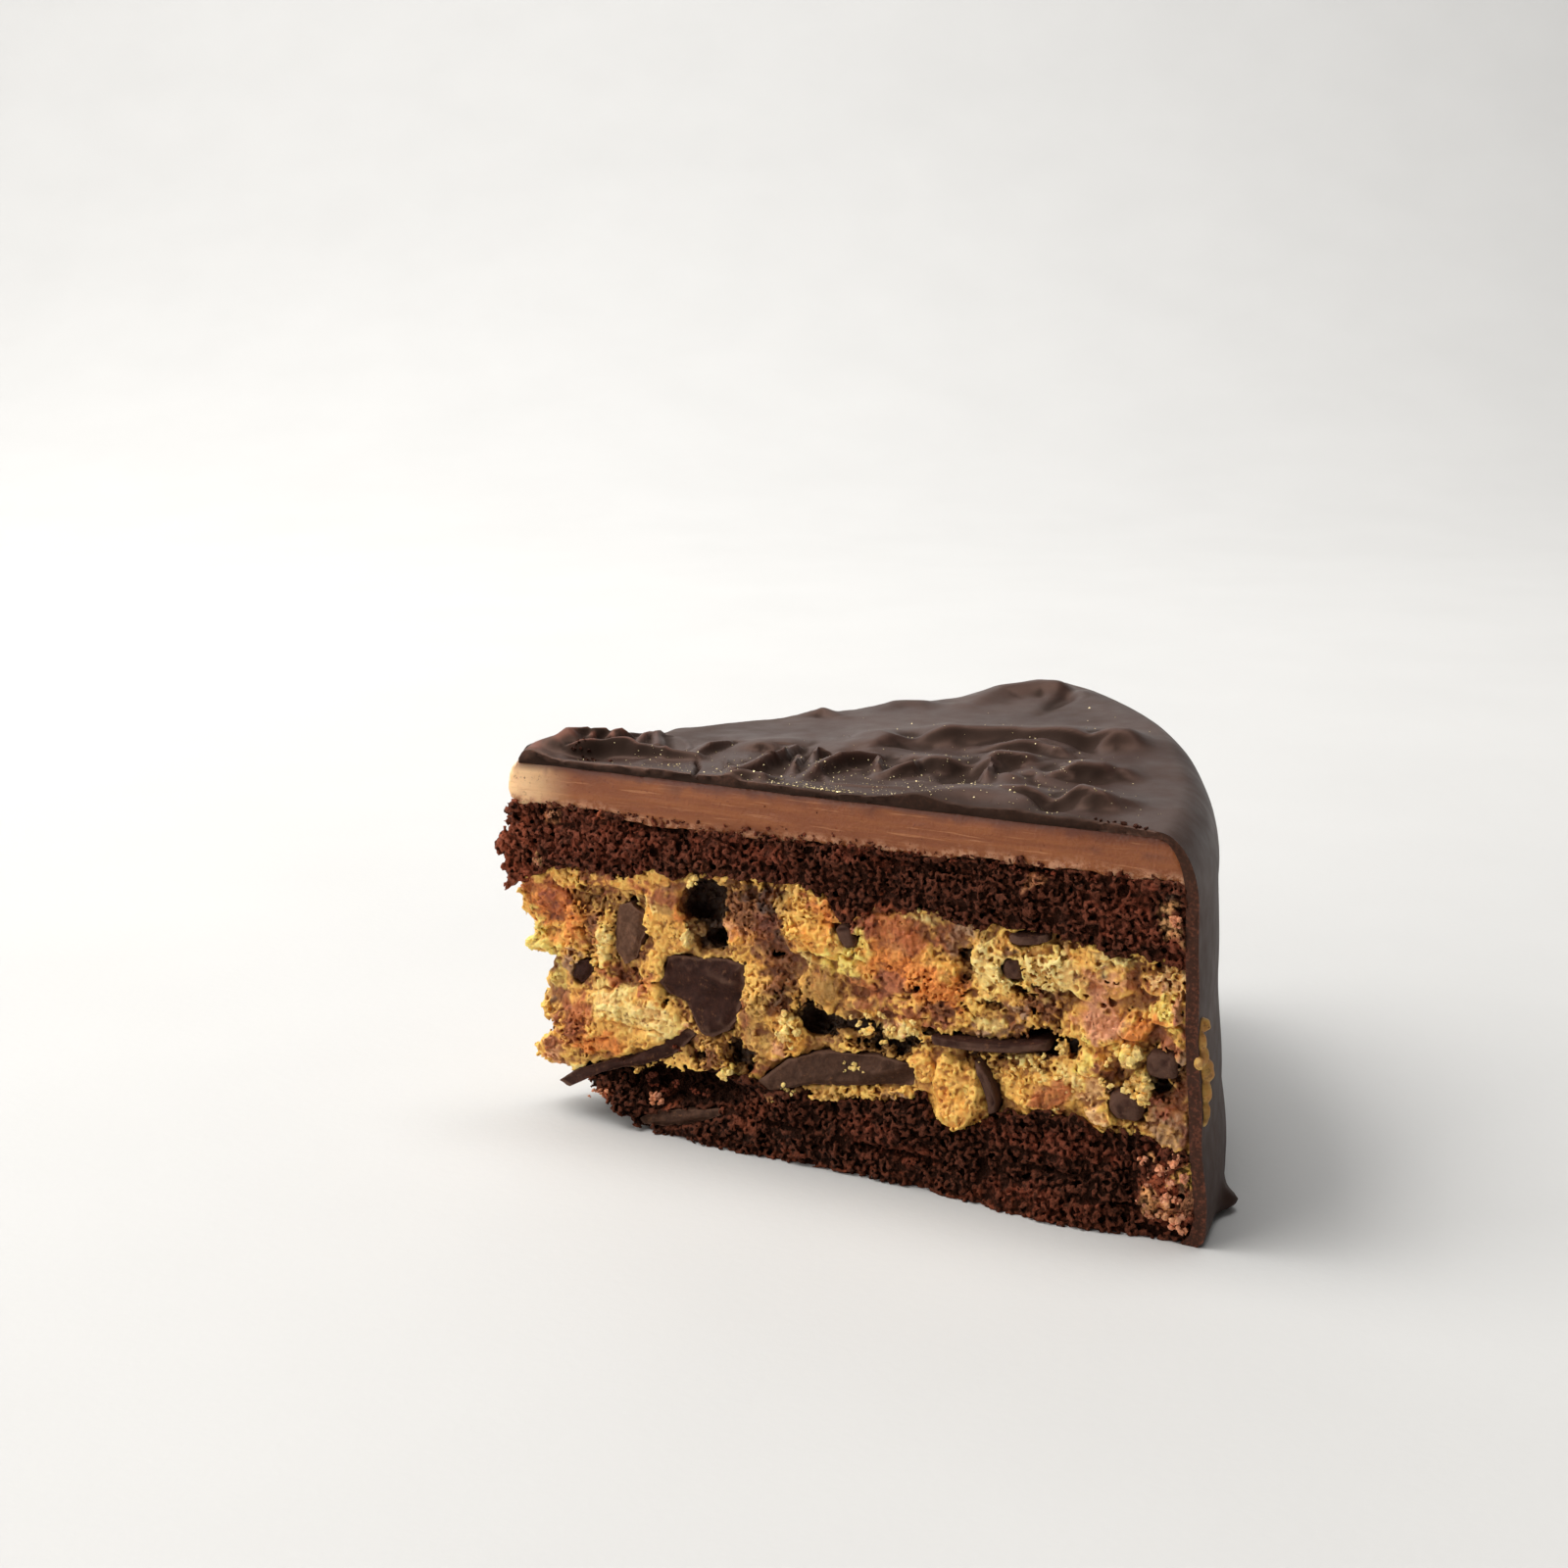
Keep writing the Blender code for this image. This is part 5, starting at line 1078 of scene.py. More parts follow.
def unit_ball(fineness):
    """Points and triangles of a ball of radius 1."""
    bm = bmesh.new()
    bmesh.ops.create_icosphere(bm, subdivisions=fineness, radius=1.0)
    ball = np.array([v.co for v in bm.verts], np.float32)
    faces = np.array([[v.index for v in f.verts] for f in bm.faces], np.int32)
    bm.free()
    return ball, faces


def make_piece(piece, number, mat):
    """Broken chocolate with a grainy skin."""
    if piece.corners:
        return broken_piece(piece, number, mat)
    fine = piece.halves[0] > LARGE_PIECE and piece.side == NEAR
    ball, faces = unit_ball(5 if fine else 4)
    draw = np.random.default_rng(300 + number)
    shape = np.sign(ball) * np.abs(ball) ** piece.squareness
    breaks = draw.normal(size=(9, 3))
    breaks /= np.linalg.norm(breaks, axis=1, keepdims=True)
    for normal in breaks:
        distance = draw.uniform(0.86, 1.12) * np.abs(normal).sum() ** 0.5
        over = np.maximum(shape @ normal - distance, 0.0)
        shape = shape - over[:, None] * normal
    body = shape * np.array(piece.halves)
    away = body / np.maximum(np.linalg.norm(body, axis=1, keepdims=True), 1e-6)
    rough = 0.2 * grain(*body.T, 1.6, number) + 0.12 * grain(*body.T, 0.6, number + 0.5)
    body = body + away * rough[:, None]
    body[:, 2] += piece.bend * (body[:, 0] / piece.halves[0]) ** 2
    points = body @ np.array(piece.place.to_3x3()).T + np.array(piece.place.translation)
    obj = add_mesh(piece.name + "_fine", points, (faces,), mat)
    obj.data.set_sharp_from_angle(angle=math.radians(38))
    return obj


def broken_piece(piece, number, mat):
    """A piece with its own broken outline: a front near the cut, sides running in and a back."""
    corners = np.array(piece.corners)
    middle = corners.mean(axis=0)
    around, rings_in, sides = 180, 26, 16
    lengths = np.linalg.norm(np.roll(corners, -1, axis=0) - corners, axis=1)
    places = np.concatenate(([0.0], np.cumsum(lengths)))
    along = np.linspace(0.0, places[-1], around, endpoint=False)
    closed = np.concatenate((corners, corners[:1]))
    out = np.stack([np.interp(along, places, closed[:, n]) for n in (0, 1)], 1) - middle
    spread = np.linalg.norm(out, axis=1, keepdims=True)
    shares = [(step / rings_in, 0.0) for step in range(rings_in + 1)]
    shares += [(1.0 - 0.12 * (step / sides) ** 2, piece.back_depth * step / sides)
               for step in range(1, sides + 1)]
    points = []
    draw = np.random.default_rng(400 + number)
    slope_t, slope_z = draw.uniform(-0.05, 0.05), draw.uniform(-0.06, 0.1)
    for share, depth in shares:
        t, z = (middle + out * share).T
        uneven = 0.25 * grain(t, z, depth + 0 * t, 1.7, number)
        uneven = uneven + 0.14 * grain(t, z, depth + 0 * t, 0.7, number + 3)
        t = t + (out / spread)[:, 0] * uneven * share
        z = z + (out / spread)[:, 1] * uneven * share
        rounded = 0.6
        if depth == 0:
            rounded = 0.6 * smooth_step(1.0 - 0.9 / max(spread.min(), 1.2), 1.0, share)
        steps = 0.8 * np.maximum(flat_grain(t, z, 4.5, number + 7) - 0.1, 0.0)
        steps = steps + 0.16 * flat_grain(t, z, 1.1, number + 8)
        lengthwise = t * math.cos(piece.roll) + z * math.sin(piece.roll)
        crosswise = z * math.cos(piece.roll) - t * math.sin(piece.roll)
        streaks = 0.7 * grain(lengthwise, 3.0 * crosswise, 0 * t, 5.0, number + 9)
        front = PIECE_FRONT + slope_t * (t - middle[0]) + slope_z * (z - middle[1]) + steps + streaks
        points.append(face_point(piece.side, t, z, front + rounded + depth))
    grid = np.stack(points[1:])
    rings = len(grid)
    index = np.arange(rings * around).reshape(rings, around)
    beside = np.roll(index, -1, axis=1)
    quads = np.stack([index[:-1], index[1:], beside[1:], beside[:-1]], axis=-1).reshape(-1, 4)
    grid = grid.reshape(-1, 3)
    first, last = len(grid), len(grid) + 1
    ends = np.stack([points[0].mean(axis=0), grid[index[-1]].mean(axis=0)])
    fan = np.stack([np.full(around, first), index[0], beside[0]], axis=-1)
    back = np.stack([np.full(around, last), beside[-1], index[-1]], axis=-1)
    faces = (np.concatenate((fan, back)), quads)
    obj = add_mesh(piece.name + "_fine", np.concatenate((grid, ends)), faces, mat)
    bm = bmesh.new()
    bm.from_mesh(obj.data)
    bmesh.ops.recalc_face_normals(bm, faces=bm.faces)
    bm.to_mesh(obj.data)
    bm.free()
    obj.data.set_sharp_from_angle(angle=math.radians(50))
    return obj


# The streak of filling on the wall.

def smear_field(x, y, z):
    places = wedge_places(x, y)
    zs = np.full(x.shape, z, np.float32)
    inside = places[NEAR][1]
    beyond = places["rim_radius"] - smooth_through(WALL, z)
    place = np.where(beyond > -0.6, np.maximum(inside, 0.0), 0.0) - np.maximum(-beyond, 0.0)
    waver = 0.45 * grain(x, y, zs, 1.2, 121.0)
    height = np.full(x.shape, -1.0, np.float32)
    for along, level, half_width, half_height, thickness in SMEAR_BLOBS:
        reach = ((place + waver - along) / half_width) ** 2 + ((zs + waver - level) / half_height) ** 2
        height = np.maximum(height, thickness - (thickness + 0.2) * np.minimum(reach, 3.0))
    height = height + 0.1 * grain(x, y, zs, 0.7, 122.0)
    out = np.maximum(beyond - 0.1, -inside)
    value = np.maximum(out - height, -0.7 - out)
    return np.clip(np.maximum(value, -0.1 - height), -0.5, 0.5)


def make_smear(mat):
    """Filling that was smeared over the coating's cut band and ran down the wall beside it."""
    points, triangles, quads = field_mesh(smear_field, *SMEAR_BOX, 0.16, 0.0)
    return add_mesh("filling_smear", points, (triangles, quads), mat)


# Materials.

class Shader:
    """Builds one material out of nodes."""

    def __init__(self, name):
        self.mat = bpy.data.materials.new(name)
        self.mat.use_nodes = True
        self.tree = self.mat.node_tree
        self.out = self.tree.nodes["Principled BSDF"]
        self.place = self.add("ShaderNodeTexCoord").outputs["Object"]

    def add(self, kind, inputs=None, **settings):
        node = self.tree.nodes.new(kind)
        for key, value in settings.items():
            setattr(node, key, value)
        self.feed(node, inputs or {})
        return node

    def feed(self, node, inputs):
        """Sets each named input to a number or colour, or links it to another node's output."""
        for key, value in inputs.items():
            socket = node.inputs[key]
            if isinstance(value, bpy.types.NodeSocket):
                self.tree.links.new(value, socket)
            elif isinstance(value, tuple) and len(value) == 3 and len(socket.default_value) == 4:
                socket.default_value = (*value, 1.0)
            else:
                socket.default_value = value

    def math(self, operation, a, b):
        return self.add("ShaderNodeMath", {0: a, 1: b}, operation=operation).outputs[0]

    def plus(self, a, b):
        return self.math("ADD", a, b)

    def times(self, a, b):
        return self.math("MULTIPLY", a, b)

    def noise(self, size, detail=3.0, rough=0.5):
        """Noise whose bumps are of the given size in millimetres."""
        return self.add("ShaderNodeTexNoise", {"Vector": self.place, "Scale": 1.0 / (size * MM),
                                               "Detail": detail, "Roughness": rough}).outputs["Fac"]

    def streaks(self, along, up, detail):
        """Noise stretched along the slice, with so many bumps in a metre."""
        place = self.add("ShaderNodeMapping", {"Vector": self.place, "Scale": (along, along, up)})
        return self.add("ShaderNodeTexNoise", {"Vector": place.outputs[0], "Scale": 1.0,
                                               "Detail": detail}).outputs["Fac"]

    def cells(self, size):
        """Distance to the nearest of randomly placed points."""
        return self.add("ShaderNodeTexVoronoi", {"Vector": self.place,
                                                 "Scale": 1.0 / (size * MM)}).outputs["Distance"]

    def steps(self, value, low, high):
        """0 below low and 1 above high, with a soft change between."""
        return self.add("ShaderNodeMapRange", {"Value": value, "From Min": low, "From Max": high},
                        interpolation_type="SMOOTHSTEP").outputs[0]

    def patches(self, size, low, high, detail=3.0, rough=0.5):
        return self.steps(self.noise(size, detail, rough), low, high)

    def mix(self, share, a, b, blend="MIX"):
        return self.add("ShaderNodeMix", {0: share, 6: a, 7: b}, data_type="RGBA",
                        blend_type=blend).outputs[2]

    def tinted(self, color, tint):
        return self.mix(1.0, color, tint, "MULTIPLY")

    def value(self, name, color=False):
        node = self.add("ShaderNodeAttribute", attribute_name=name)
        return node.outputs["Color" if color else "Fac"]

    def crevice(self, low, high, amount):
        """Share of painted shade where a place lies in a crevice, or of painted highlight where it stands out
        when low and high are negative.
        """
        return self.times(self.steps(self.value("crevice"), low, high), amount)

    def finish(self, color, roughness, height, depth, specular=0.5, tint=(1.0, 1.0, 1.0),
               soft=0.0, soft_radius=(1.0, 1.0, 1.0), soft_scale=1.0):
        """The surface, with relief of the given depth in millimetres."""
        relief = self.add("ShaderNodeBump", {"Height": height, "Strength": 1.0, "Distance": depth * MM})
        self.feed(self.out, {
            "Base Color": color, "Roughness": roughness, "Normal": relief.outputs[0],
            "Specular IOR Level": specular, "Specular Tint": (*tint, 1.0)})
        if soft:
            self.feed(self.out, {"Subsurface Weight": soft, "Subsurface Radius": soft_radius,
                                 "Subsurface Scale": soft_scale * MM})
        return self.mat


def srgb(r, g, b):
    """Linear colour of an sRGB one given from 0 to 255."""
    return tuple(((c / 255 + 0.055) / 1.055) ** 2.4 if c > 10 else c / 255 / 12.92 for c in (r, g, b))


TONES = {
    "yellow": (240, 180, 86), "amber": (242, 166, 68), "pale": (254, 218, 132), "bright": (255, 226, 114),
    "orange": (216, 124, 50), "toast": (172, 90, 46), "rust": (136, 64, 36), "brown": (112, 58, 35),
    "umber": (80, 46, 32), "dark": (48, 28, 20), "olive": (164, 118, 56), "moss": (200, 156, 80),
    "pink": (214, 150, 106), "peach": (232, 180, 122), "clay": (160, 88, 60), "dust": (156, 120, 92),
    "ash": (118, 98, 82), "slate": (28, 19, 16), "crust": (96, 50, 34), "sponge": (46, 21, 14),
    # deep, the base sponge's tone, is partly painted shade, darker for the base's place under the filling.
    "deep": (28, 12, 8), "warm": (104, 54, 40), "warmer": (136, 74, 54), "blush": (206, 138, 104),
    "piece": (62, 36, 28), "dusty": (112, 80, 62), "flake": (80, 55, 42),
}


def sponge_material():
    s = Shader("dark_sponge")
    fine = s.noise(0.55, 4, 0.65)
    tone = s.value("tone", color=True)
    tone = s.mix(s.patches(4.6, 0.38, 0.6, 4, 0.6), s.tinted(tone, (0.6, 0.56, 0.54)), tone)
    color = s.mix(s.patches(2.6, 0.4, 0.62, 4), tone, s.tinted(tone, (1.5, 1.25, 1.1)))
    color = s.mix(s.steps(fine, 0.54, 0.76), color, s.mix(0.5, tone, srgb(150, 92, 72)))
    # Painted highlight on bumps, and painted shade, near black, in crevices.
    color = s.mix(s.crevice(-0.2, -0.8, 0.4), color, s.mix(0.5, tone, srgb(170, 96, 70)))
    color = s.mix(s.crevice(-0.1, 0.7, 0.75), color, srgb(14, 5, 3))
    color = s.mix(s.times(s.patches(0.9, 0.47, 0.36, 3, 0.6), 0.8), color, srgb(16, 6, 4))
    # Painted shade, near black, deeper inside the cut.
    color = s.mix(s.times(s.steps(s.value("hollow"), 0.5, 1.9), 0.8), color, srgb(16, 6, 4))
    height = s.plus(s.noise(0.3, 3, 0.6), s.times(s.cells(0.45), -0.5))
    rough = s.plus(0.26, s.times(s.noise(0.6, 2), 0.55))
    return s.finish(color, rough, height, 0.34, specular=0.24, tint=srgb(255, 176, 140))


def filling_material():
    s = Shader("orange_filling")
    fine = s.noise(0.6, 4, 0.65)
    tone = s.value("tone", color=True)
    color = s.mix(s.patches(2.4, 0.5, 0.68, 4, 0.6), tone, s.tinted(tone, (0.98, 0.82, 0.6)))
    lit = s.mix(1.0, s.tinted(tone, (1.35, 1.4, 1.6)), srgb(255, 232, 156), "DARKEN")
    color = s.mix(s.steps(fine, 0.5, 0.78), color, lit)
    for size, low, high, detail, amount, blend, other in (
            (4.6, 0.46, 0.34, 3, 0.2, 0.6, srgb(255, 222, 128)),
            (3.4, 0.5, 0.62, 4, 0.6, 0.6, srgb(196, 108, 44)),
            (1.3, 0.57, 0.65, 3, 0.65, 0.7, srgb(116, 56, 28))):
        share = s.times(s.patches(size, low, high, detail, 0.6), amount)
        color = s.mix(share, color, s.mix(blend, tone, other))
    # Painted highlight on bumps and painted shade in crevices.
    color = s.mix(s.crevice(-0.1, -0.7, 0.6), color, lit)
    color = s.mix(s.crevice(0.1, 0.9, 0.8), color, s.tinted(color, (0.45, 0.27, 0.14)))
    color = s.mix(s.times(s.steps(s.cells(1.7), 0.13, 0.09), 0.7), color, srgb(120, 60, 30))
    # Painted shade: browner, then near black, the deeper a place lies inside the cut.
    hollow = s.value("hollow")
    uneven = s.plus(hollow, s.times(s.noise(2.0, 3), 0.8))
    color = s.mix(s.steps(uneven, 1.1, 2.0), color, s.mix(0.75, color, srgb(112, 60, 28)))
    color = s.mix(s.times(s.steps(hollow, 1.7, 3.6), 0.92), color, srgb(38, 20, 12))
    height = s.plus(fine, s.times(s.noise(0.25, 2), 0.4))
    rough = s.plus(0.36, s.times(s.noise(0.9, 2), 0.4))
    return s.finish(color, rough, height, 0.2, 0.4, soft=0.14, soft_radius=(1.0, 0.55, 0.2))


def cream_material():
    s = Shader("chocolate_cream")
    streak = s.streaks(60.0, 900.0, 5.0)
    color = s.mix(s.steps(streak, 0.36, 0.66), srgb(132, 70, 32), srgb(148, 84, 40))
    # Painted light: paler towards the thin tip.
    color = s.mix(s.value("tip"), color, srgb(250, 206, 154))
    lines = s.steps(s.streaks(110.0, 2400.0, 3.0), 0.6, 0.7)
    color = s.mix(s.times(lines, 0.5), color, srgb(192, 130, 84))
    color = s.mix(s.times(s.patches(1.4, 0.42, 0.6, 4, 0.7), s.value("edge")), color, srgb(200, 144, 108))
    color = s.mix(s.times(s.patches(0.5, 0.55, 0.68, 4, 0.7), s.value("smear")), color, srgb(104, 46, 28))
    color = s.mix(s.value("rim"), color, srgb(92, 44, 30))
    height = s.plus(s.times(streak, 0.8), s.times(s.noise(0.5, 3), 0.5))
    rough = s.plus(0.34, s.times(s.noise(1.5, 3), 0.3))
    return s.finish(color, rough, height, 0.2, 0.4, soft=0.2, soft_radius=(1.0, 0.45, 0.25),
                    soft_scale=1.8)


def coating_material():
    s = Shader("dark_coating")
    color = s.mix(s.patches(12.0, 0.3, 0.7, 4), srgb(38, 22, 18), srgb(50, 32, 26))
    # Lighter warm brown on raised crests: painted highlight, with the reddish brown of the crests near the
    # tip.
    color = s.mix(s.value("crest"), color, srgb(96, 54, 42))
    flecks = s.patches(0.5, 0.45, 0.7, 3, 0.6)
    cut = s.mix(s.value("wall"), s.mix(flecks, srgb(36, 20, 16), srgb(66, 38, 28)),
                s.mix(flecks, srgb(48, 28, 23), srgb(98, 54, 40)))
    color = s.mix(s.value("cut"), color, cut)
    # Painted shade, near black, in the top's hollows, on slopes facing the near side and along its near edge.
    color = s.mix(s.times(s.value("painted_shade"), 0.9), color, srgb(9, 5, 4))
    height = s.plus(s.times(s.noise(2.6, 3), 0.6), s.times(s.noise(0.45, 3, 0.6), 0.14))
    rough = s.plus(0.34, s.times(s.noise(3.0, 4), 0.26))
    rough = s.plus(rough, s.times(s.value("wall"), 0.15))
    rough = s.plus(rough, s.times(s.value("painted_shade"), 0.35))
    return s.finish(color, rough, height, 0.1, specular=0.44, tint=srgb(255, 198, 168))


def chocolate_material():
    s = Shader("chocolate_piece")
    fine = s.noise(0.7, 4, 0.65)
    tone = s.value("tone", color=True)
    color = s.mix(s.steps(fine, 0.35, 0.7), s.tinted(tone, (0.62, 0.58, 0.56)), tone)
    color = s.mix(s.times(s.patches(1.3, 0.56, 0.68, 5, 0.75), 0.5), color, srgb(128, 86, 58))
    # Painted highlight on bumps and painted shade, near black, in crevices.
    color = s.mix(s.crevice(-0.1, -0.7, 0.4), color, srgb(124, 92, 76))
    color = s.mix(s.crevice(0.05, 0.8, 0.8), color, srgb(18, 9, 7))
    height = s.plus(fine, s.times(s.noise(2.0, 3), 0.6))
    return s.finish(color, s.plus(0.55, s.times(fine, 0.3)), height, 0.25, specular=0.12)


def gold_material():
    s = Shader("gold_speck")
    s.out.inputs["Metallic"].default_value = 0.35
    color = s.mix(s.noise(0.5), srgb(236, 206, 130), srgb(255, 240, 196))
    return s.finish(color, 0.3, s.noise(0.2), 0.02)


def floor_material():
    s = Shader("pale_floor")
    color = s.mix(s.noise(60.0, 3), srgb(192, 191, 189), srgb(198, 197, 195))
    return s.finish(color, 0.75, s.noise(1.5, 4), 0.05, specular=0.2)


# Tones that the materials read from the meshes.

def tones_at(t, z, base, zones):
    """Linear colour at each place of a cut face: the base tone with the zones laid over it,
    with uneven edges."""
    uneven_t, uneven_z = (
        place + 1.5 * flat_grain(t, z, 2.4, seed) + 1.3 * flat_grain(t, z, 0.8, seed + 1.0)
        for place, seed in ((t, 111.0), (z, 113.0)))
    color = np.full((len(t), 3), srgb(*TONES[base]), np.float32)
    for t0, z0, half_t, half_z, tone in zones:
        near_t, near_z = np.abs(t - t0) < half_t * 1.4 + 1.6, np.abs(z - z0) < half_z * 1.4 + 1.6
        by = np.flatnonzero(near_t & near_z)
        reach = ((uneven_t[by] - t0) / half_t) ** 2 + ((uneven_z[by] - z0) / half_z) ** 2
        share = 0.9 * (1.0 - smooth_step(0.6, 1.25, np.sqrt(reach)))
        color[by] += (np.array(srgb(*TONES[tone]), np.float32) - color[by]) * share[:, None]
    return color


def set_tones(obj, color):
    data = obj.data.attributes.new("tone", "FLOAT_COLOR", "POINT")
    rgba = np.concatenate((color, np.ones((len(color), 1), np.float32)), axis=1)
    data.data.foreach_set("color", rgba.astype(np.float32).ravel())


def crevice_of(obj):
    """How far each point lies below its surroundings, in millimetres, negative above them."""
    points = points_of(obj)
    edges = np.empty(len(obj.data.edges) * 2, np.int32)
    obj.data.edges.foreach_get("vertices", edges)
    start, end = edges.reshape(-1, 2).T
    here, other = np.concatenate((start, end)), np.concatenate((end, start))
    count = np.maximum(np.bincount(here, minlength=len(points)), 1)
    soft = points
    for _ in range(CREVICE_ROUNDS):
        soft = np.stack([np.bincount(here, soft[other, n], len(points)) / count for n in range(3)], 1)
    return ((soft - points) * vectors_of(obj, "normal")).sum(axis=1)


def set_crevice(obj):
    set_values(obj, "crevice", np.clip(crevice_of(obj) / CREVICE_DEPTH, -1.0, 1.0))


def tone_layer(obj, half, base, zones):
    x, y, z = points_of(obj).T
    t, depth = wedge_places(x, y)[half]
    set_tones(obj, tones_at(t, z, base, zones))
    set_crevice(obj)
    # Depth inside the cut, which the materials turn into painted shade.
    set_values(obj, "hollow", np.clip(depth, 0.0, 8.0) * smooth_step(0.0, 14.0, t))


def tone_cream(obj):
    x, y, z = points_of(obj).T
    places = wedge_places(x, y)
    t = places[NEAR][0]
    # Painted light: the tip value makes the cream paler towards the thin tip.
    set_values(obj, "tip", 1.0 - smooth_step(2.0, 13.0, places["out"]))
    waver = 0.5 * flat_grain(t, 0 * t, 6.0, 131.0)
    streak = np.exp(-((z - 52.6 - waver) / 0.35) ** 2) * (1 - smooth_step(34, 46, t))
    edge = 1.0 - smooth_step(0.2, 1.5, z - smooth_through(CREAM_BOTTOM_NEAR, t))
    spots = sum(bump(t - t0, z - z0, half_t, half_z) for t0, z0, half_t, half_z in CREAM_SPOTS)
    set_values(obj, "edge", edge)
    set_values(obj, "smear", np.clip(0.12 + 0.7 * edge + 0.8 * streak + 0.9 * spots, 0.0, 1.0))
    line = 0.6 * np.exp(-((z - 52.0 - waver * 0.4) / 0.14) ** 2) * smooth_step(80, 86, t)
    top = 0.75 * smooth_step(53.0, 54.3, z + 0.6 * flat_grain(t, z, 1.4, 132.0))
    set_values(obj, "rim", np.clip(top + line, 0.0, 1.0))


def tone_coating(obj):
    x, y, z = points_of(obj).T
    places = wedge_places(x, y)
    radius = places["radius"]
    cut = np.minimum(places[NEAR][1], places[FAR][1])
    set_values(obj, "cut", 1.0 - smooth_step(0.05, 0.7, cut))
    level = z - plain_top(radius, places["across"])
    crevice = crevice_of(obj)
    # The crest value marks raised bumps of the top for a painted highlight, most towards the tip.
    on_top = smooth_step(53.9, 54.6, z) * (1 - smooth_step(90.0, 97.0, radius))
    rim = smooth_step(0.03, 0.16, -crevice) * smooth_step(0.6, 1.4, level)
    set_values(obj, "crest", on_top * rim * (0.1 + 0.9 * (1 - smooth_step(14.0, 34.0, radius))))
    set_values(obj, "wall", smooth_step(52.0, 44.0, z) * (radius > 90))
    # Painted shade for the top: in hollows, below the plain top, on slopes that face the near side and along
    # the near edge.
    toward_near = np.array((-math.sin(HALF_ANGLE), -math.cos(HALF_ANGLE), 0.0))
    front = np.maximum(vectors_of(obj, "normal") @ toward_near, 0.0)
    facing = smooth_step(0.38, 0.75, front) * smooth_step(0.2, 0.6, cut)
    low = np.maximum(smooth_step(0.02, 0.14, crevice), facing)
    low = np.maximum(low, smooth_step(0.1, -0.6, level))
    lip = smooth_step(4.0, 0.5, places[NEAR][1]) * smooth_step(34.0, 56.0, places[NEAR][0])
    set_values(obj, "painted_shade", on_top * np.maximum(low, 0.7 * lip))


def plain_tone(obj, tone, spread):
    """One tone with a little unevenness."""
    points = points_of(obj)
    color = np.full((len(points), 3), srgb(*TONES[tone]), np.float32)
    color *= (1.0 + spread * grain(*points.T, 1.5, 141.0))[:, None]
    set_tones(obj, color)
    set_values(obj, "hollow", np.zeros(len(points)))


# Small things that lie on the surfaces.

def scatter_grains(name, places, sizes, draw, mat, flat, knobbly=0.35):
    """Joined small grains: an uneven ball at each place, in millimetres, turned at random."""
    ball, faces = unit_ball(1)
    squash = np.array((1.0, 0.85, flat))
    own_draw = np.random.default_rng(len(name) * 7)
    points, triangles = [], []
    for n, (place, size) in enumerate(zip(places, sizes)):
        spin = Matrix.Rotation(draw.uniform(0, 2 * math.pi), 3, "Z")
        turn = spin @ Matrix.Rotation(draw.uniform(0, math.pi), 3, "X")
        uneven = ball * own_draw.uniform(1 - knobbly, 1 + knobbly, size=(len(ball), 1)) * squash
        points.append((uneven @ np.array(turn).T) * size + place)
        triangles.append(faces + n * len(ball))
    return add_mesh(name, np.concatenate(points), (np.concatenate(triangles),), mat, smooth=False)


def make_specks(name, seed, clusters, sizes, mat, flat):
    """Small specks on the coating's top. A cluster is t, inset, their spreads and a count."""
    draw = np.random.default_rng(seed)
    spots = [np.stack([draw.normal(t0, half_t, count), np.abs(draw.normal(s0, half_s, count))], 1)
             for t0, s0, half_t, half_s, count in clusters]
    t, inset = np.concatenate(spots).T
    radius, across = np.hypot(t, inset), np.arctan2(inset, t) / HALF_ANGLE - 1
    keep = (radius < 99) & (radius > 8) & (across < 0.98) & (across > -0.995)
    radius, across = radius[keep], across[keep]
    z = coating_top(radius + flatness(radius, across), across)
    angle = across * HALF_ANGLE
    places = np.stack([radius * np.cos(angle) - ORIGIN_FROM_APEX, radius * np.sin(angle), z + 0.02], 1)
    sizes = draw.uniform(*sizes, len(places)) * draw.choice((1.0, 1.0, 1.5), len(places))
    return scatter_grains(name, places, sizes, draw, mat, flat)


def make_crumbs(name, seed, zones, mat):
    """Loose crumbs on a cut face, each a cluster of a few grains. A zone is side, t, z, spread
    along and up, depth, count and size."""
    draw = np.random.default_rng(seed)
    places, sizes = [], []
    for side, t0, z0, half_t, half_z, depth, count, size in zones:
        t, z = draw.normal(t0, half_t, count), draw.normal(z0, half_z, count)
        reach = draw.uniform(0.45, 1.2, count) * size
        kept = (t > 6.0) & (t < CRUMBS_END) & (z > 0.6)
        for _ in range(GRAINS_PER_CRUMB):
            shift = draw.normal(0.0, 0.5, (3, count)) * reach
            inset = depth + draw.uniform(-0.1, 0.2, count) + shift[2] * 0.5
            places.append(face_point(side, t + shift[0], z + shift[1], inset)[kept])
            sizes.append((reach * draw.uniform(0.45, 0.9, count))[kept])
    return scatter_grains(name, np.concatenate(places), np.concatenate(sizes), draw, mat, 0.85)


# Camera, light and floor.

def make_camera():
    """The photograph's viewing angle, fitted to the slice's edges in a frame 1600 pixels wide."""
    focal_pixels, frame_pixels, sensor = 2060.0, 1600.0, 36.0
    data = bpy.data.cameras.new("camera")
    data.sensor_width = sensor
    data.lens = focal_pixels / frame_pixels * sensor
    data.clip_start = 0.01
    camera = bpy.data.objects.new("camera", data)
    bpy.context.collection.objects.link(camera)
    camera.location = (-0.00987, -0.29093, 0.12113)
    camera.rotation_euler = (math.radians(76.4), 0.0, 0.0043)
    bpy.context.scene.camera = camera


def area_light(name, place, target, size, power, color):
    data = bpy.data.lights.new(name, "AREA")
    data.shape = "RECTANGLE"
    data.size, data.size_y = size
    data.energy = power
    data.color = color
    light = bpy.data.objects.new(name, data)
    bpy.context.collection.objects.link(light)
    light.location = place
    light.rotation_euler = (Vector(target) - Vector(place)).to_track_quat("-Z", "Y").to_euler()


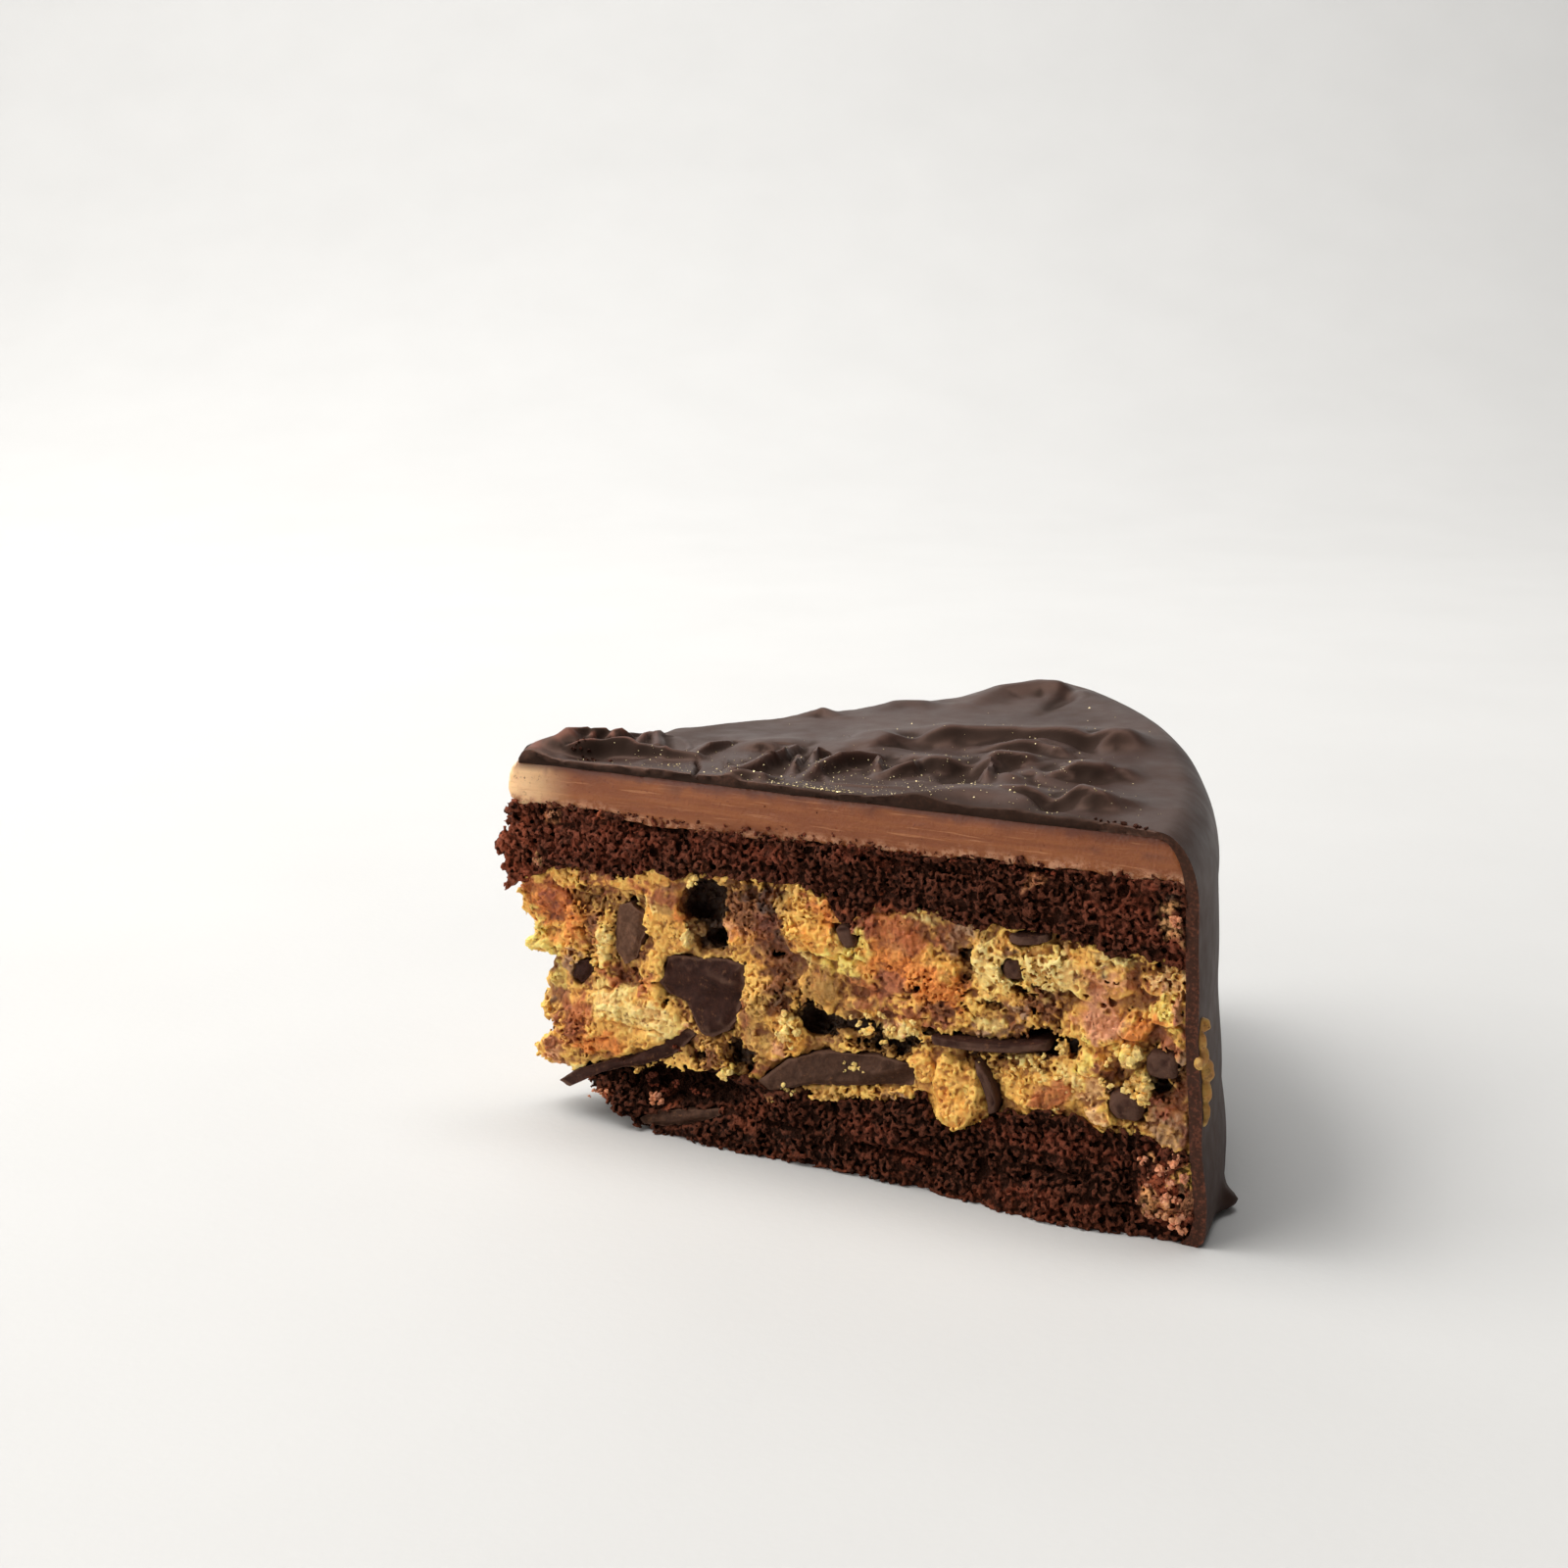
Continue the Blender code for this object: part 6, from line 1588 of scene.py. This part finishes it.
def make_light():
    """Soft studio surroundings, brighter behind and to the left than in front, and lamps."""
    world = bpy.data.worlds.new("studio")
    bpy.context.scene.world = world
    world.use_nodes = True
    tree = world.node_tree
    place, toward, strength = (tree.nodes.new("ShaderNode" + kind)
                               for kind in ("TexCoord", "VectorMath", "MapRange"))
    toward.operation = "DOT_PRODUCT"
    toward.inputs[1].default_value = Vector(BRIGHT_SIDE).normalized()
    strength.interpolation_type = "SMOOTHSTEP"
    lowest, highest = WORLD_STRENGTHS
    for socket, value in (("From Min", -0.8), ("From Max", 0.9), ("To Min", lowest), ("To Max", highest)):
        strength.inputs[socket].default_value = value
    back = tree.nodes["Background"]
    back.inputs["Color"].default_value = (1.0, 1.0, 1.0, 1.0)
    tree.links.new(place.outputs["Generated"], toward.inputs[0])
    tree.links.new(toward.outputs["Value"], strength.inputs["Value"])
    tree.links.new(strength.outputs[0], back.inputs["Strength"])
    for row in LIGHTS:
        area_light(*row)


def make_floor():
    """Pale floor that curves up into a backdrop behind the slice."""
    start, bend, half_width = 0.7, 0.8, 4.0
    profile = [(-3.0, 0.0), (0.0, 0.0), (start * 0.5, 0.0)]
    for step in range(25):
        angle = math.pi / 2 * step / 24
        profile.append((start + bend * math.sin(angle), bend * (1 - math.cos(angle))))
    profile.append((start + bend, 4.0))
    points = [(x / MM, y / MM, z / MM) for y, z in profile for x in (-half_width, half_width)]
    quads = [(2 * n, 2 * n + 1, 2 * n + 3, 2 * n + 2) for n in range(len(profile) - 1)]
    floor = add_mesh("floor", points, (quads,), floor_material())


def attach(obj, slot, *nodes):
    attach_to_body(obj, "root")
    if nodes:
        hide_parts(*nodes)


def make_layers(sponge, filling):
    """The crumb layers, each in two or three parts: name, field, lowest and highest z, grid
    step, triangles, base tone and tones."""
    whole = (FIRST_X, LAST_X)
    left, right = (FIRST_X, FILLING_SPLIT + OVERLAP), (FILLING_SPLIT - OVERLAP, LAST_X)
    for node, word, layer, levels, voxel, budget, base, tones in (
            # The base's tone deep is partly painted shade.
            ("base_sponge", "near", base_layer(NEAR, whole), (-0.8, 18.6), 0.23, 105000, "deep", BASE_TONES),
            ("base_sponge", "far", base_layer(FAR, whole), (-0.8, 15.6), 0.36, 28000, "deep", ()),
            ("upper_sponge", "near", upper_layer(NEAR, whole), (31.6, 50.6), 0.23, 118000, "sponge",
             UPPER_TONES),
            ("upper_sponge", "far", upper_layer(FAR, whole), (34.6, 50.6), 0.36, 28000, "sponge", ()),
            ("filling", "left", filling_layer(NEAR, left), (3.4, 45.4), 0.21, 140000, "yellow", TONES_NEAR),
            ("filling", "right", filling_layer(NEAR, right), (3.4, 45.4), 0.21, 140000, "yellow", TONES_NEAR),
            ("filling", "far", filling_layer(FAR, whole), (3.4, 45.4), 0.34, 56000, "yellow", TONES_FAR)):
        mat, slot = (filling, "orange_filling") if node == "filling" else (sponge, "dark_sponge")
        obj = make_part(f"{node}_{word}", layer, levels, voxel, mat, budget)
        tone_layer(obj, layer.half, base, tones)
        attach(obj, slot, node)


def make_pieces(mat):
    for number, piece in enumerate(ALL_PIECES):
        obj = make_piece(piece, number, mat)
        plain_tone(obj, PIECE_TONES.get(piece.name, "piece"), 0.2)
        set_crevice(obj)
        attach(obj, "chocolate_piece", piece.name)


def make_small_things(sponge, filling):
    """Specks and crumbs on the coating's top, the streak on the wall and the loose crumbs."""
    gold = make_specks("gold_specks", 77, GOLD_CLUSTERS, (0.045, 0.12), gold_material(), 0.3)
    attach(gold, "dark_coating")
    rough = make_specks("coating_crumbs", 78, ROUGH_CLUSTERS, (0.12, 0.36), sponge, 0.8)
    plain_tone(rough, "sponge", 0.4)
    attach(rough, "dark_coating")
    smear = make_smear(filling)
    plain_tone(smear, "moss", 0.25)
    attach(smear, "orange_filling")
    for name, seed, tone, mat, slot, zones in CRUMBS:
        loose = make_crumbs(name, seed, zones, sponge if mat == "sponge" else filling)
        plain_tone(loose, tone, 0.4)
        attach(loose, slot)


def main():
    make_camera()
    make_light()
    make_floor()
    bpy.context.scene.view_settings.view_transform = "Standard"
    sponge, filling = sponge_material(), filling_material()
    make_layers(sponge, filling)
    cream = make_cream(cream_material())
    tone_cream(cream)
    attach(cream, "chocolate_cream", "cream")
    coating = make_coating(coating_material())
    tone_coating(coating)
    attach(coating, "dark_coating", "coating")
    make_pieces(chocolate_material())
    make_small_things(sponge, filling)


main()
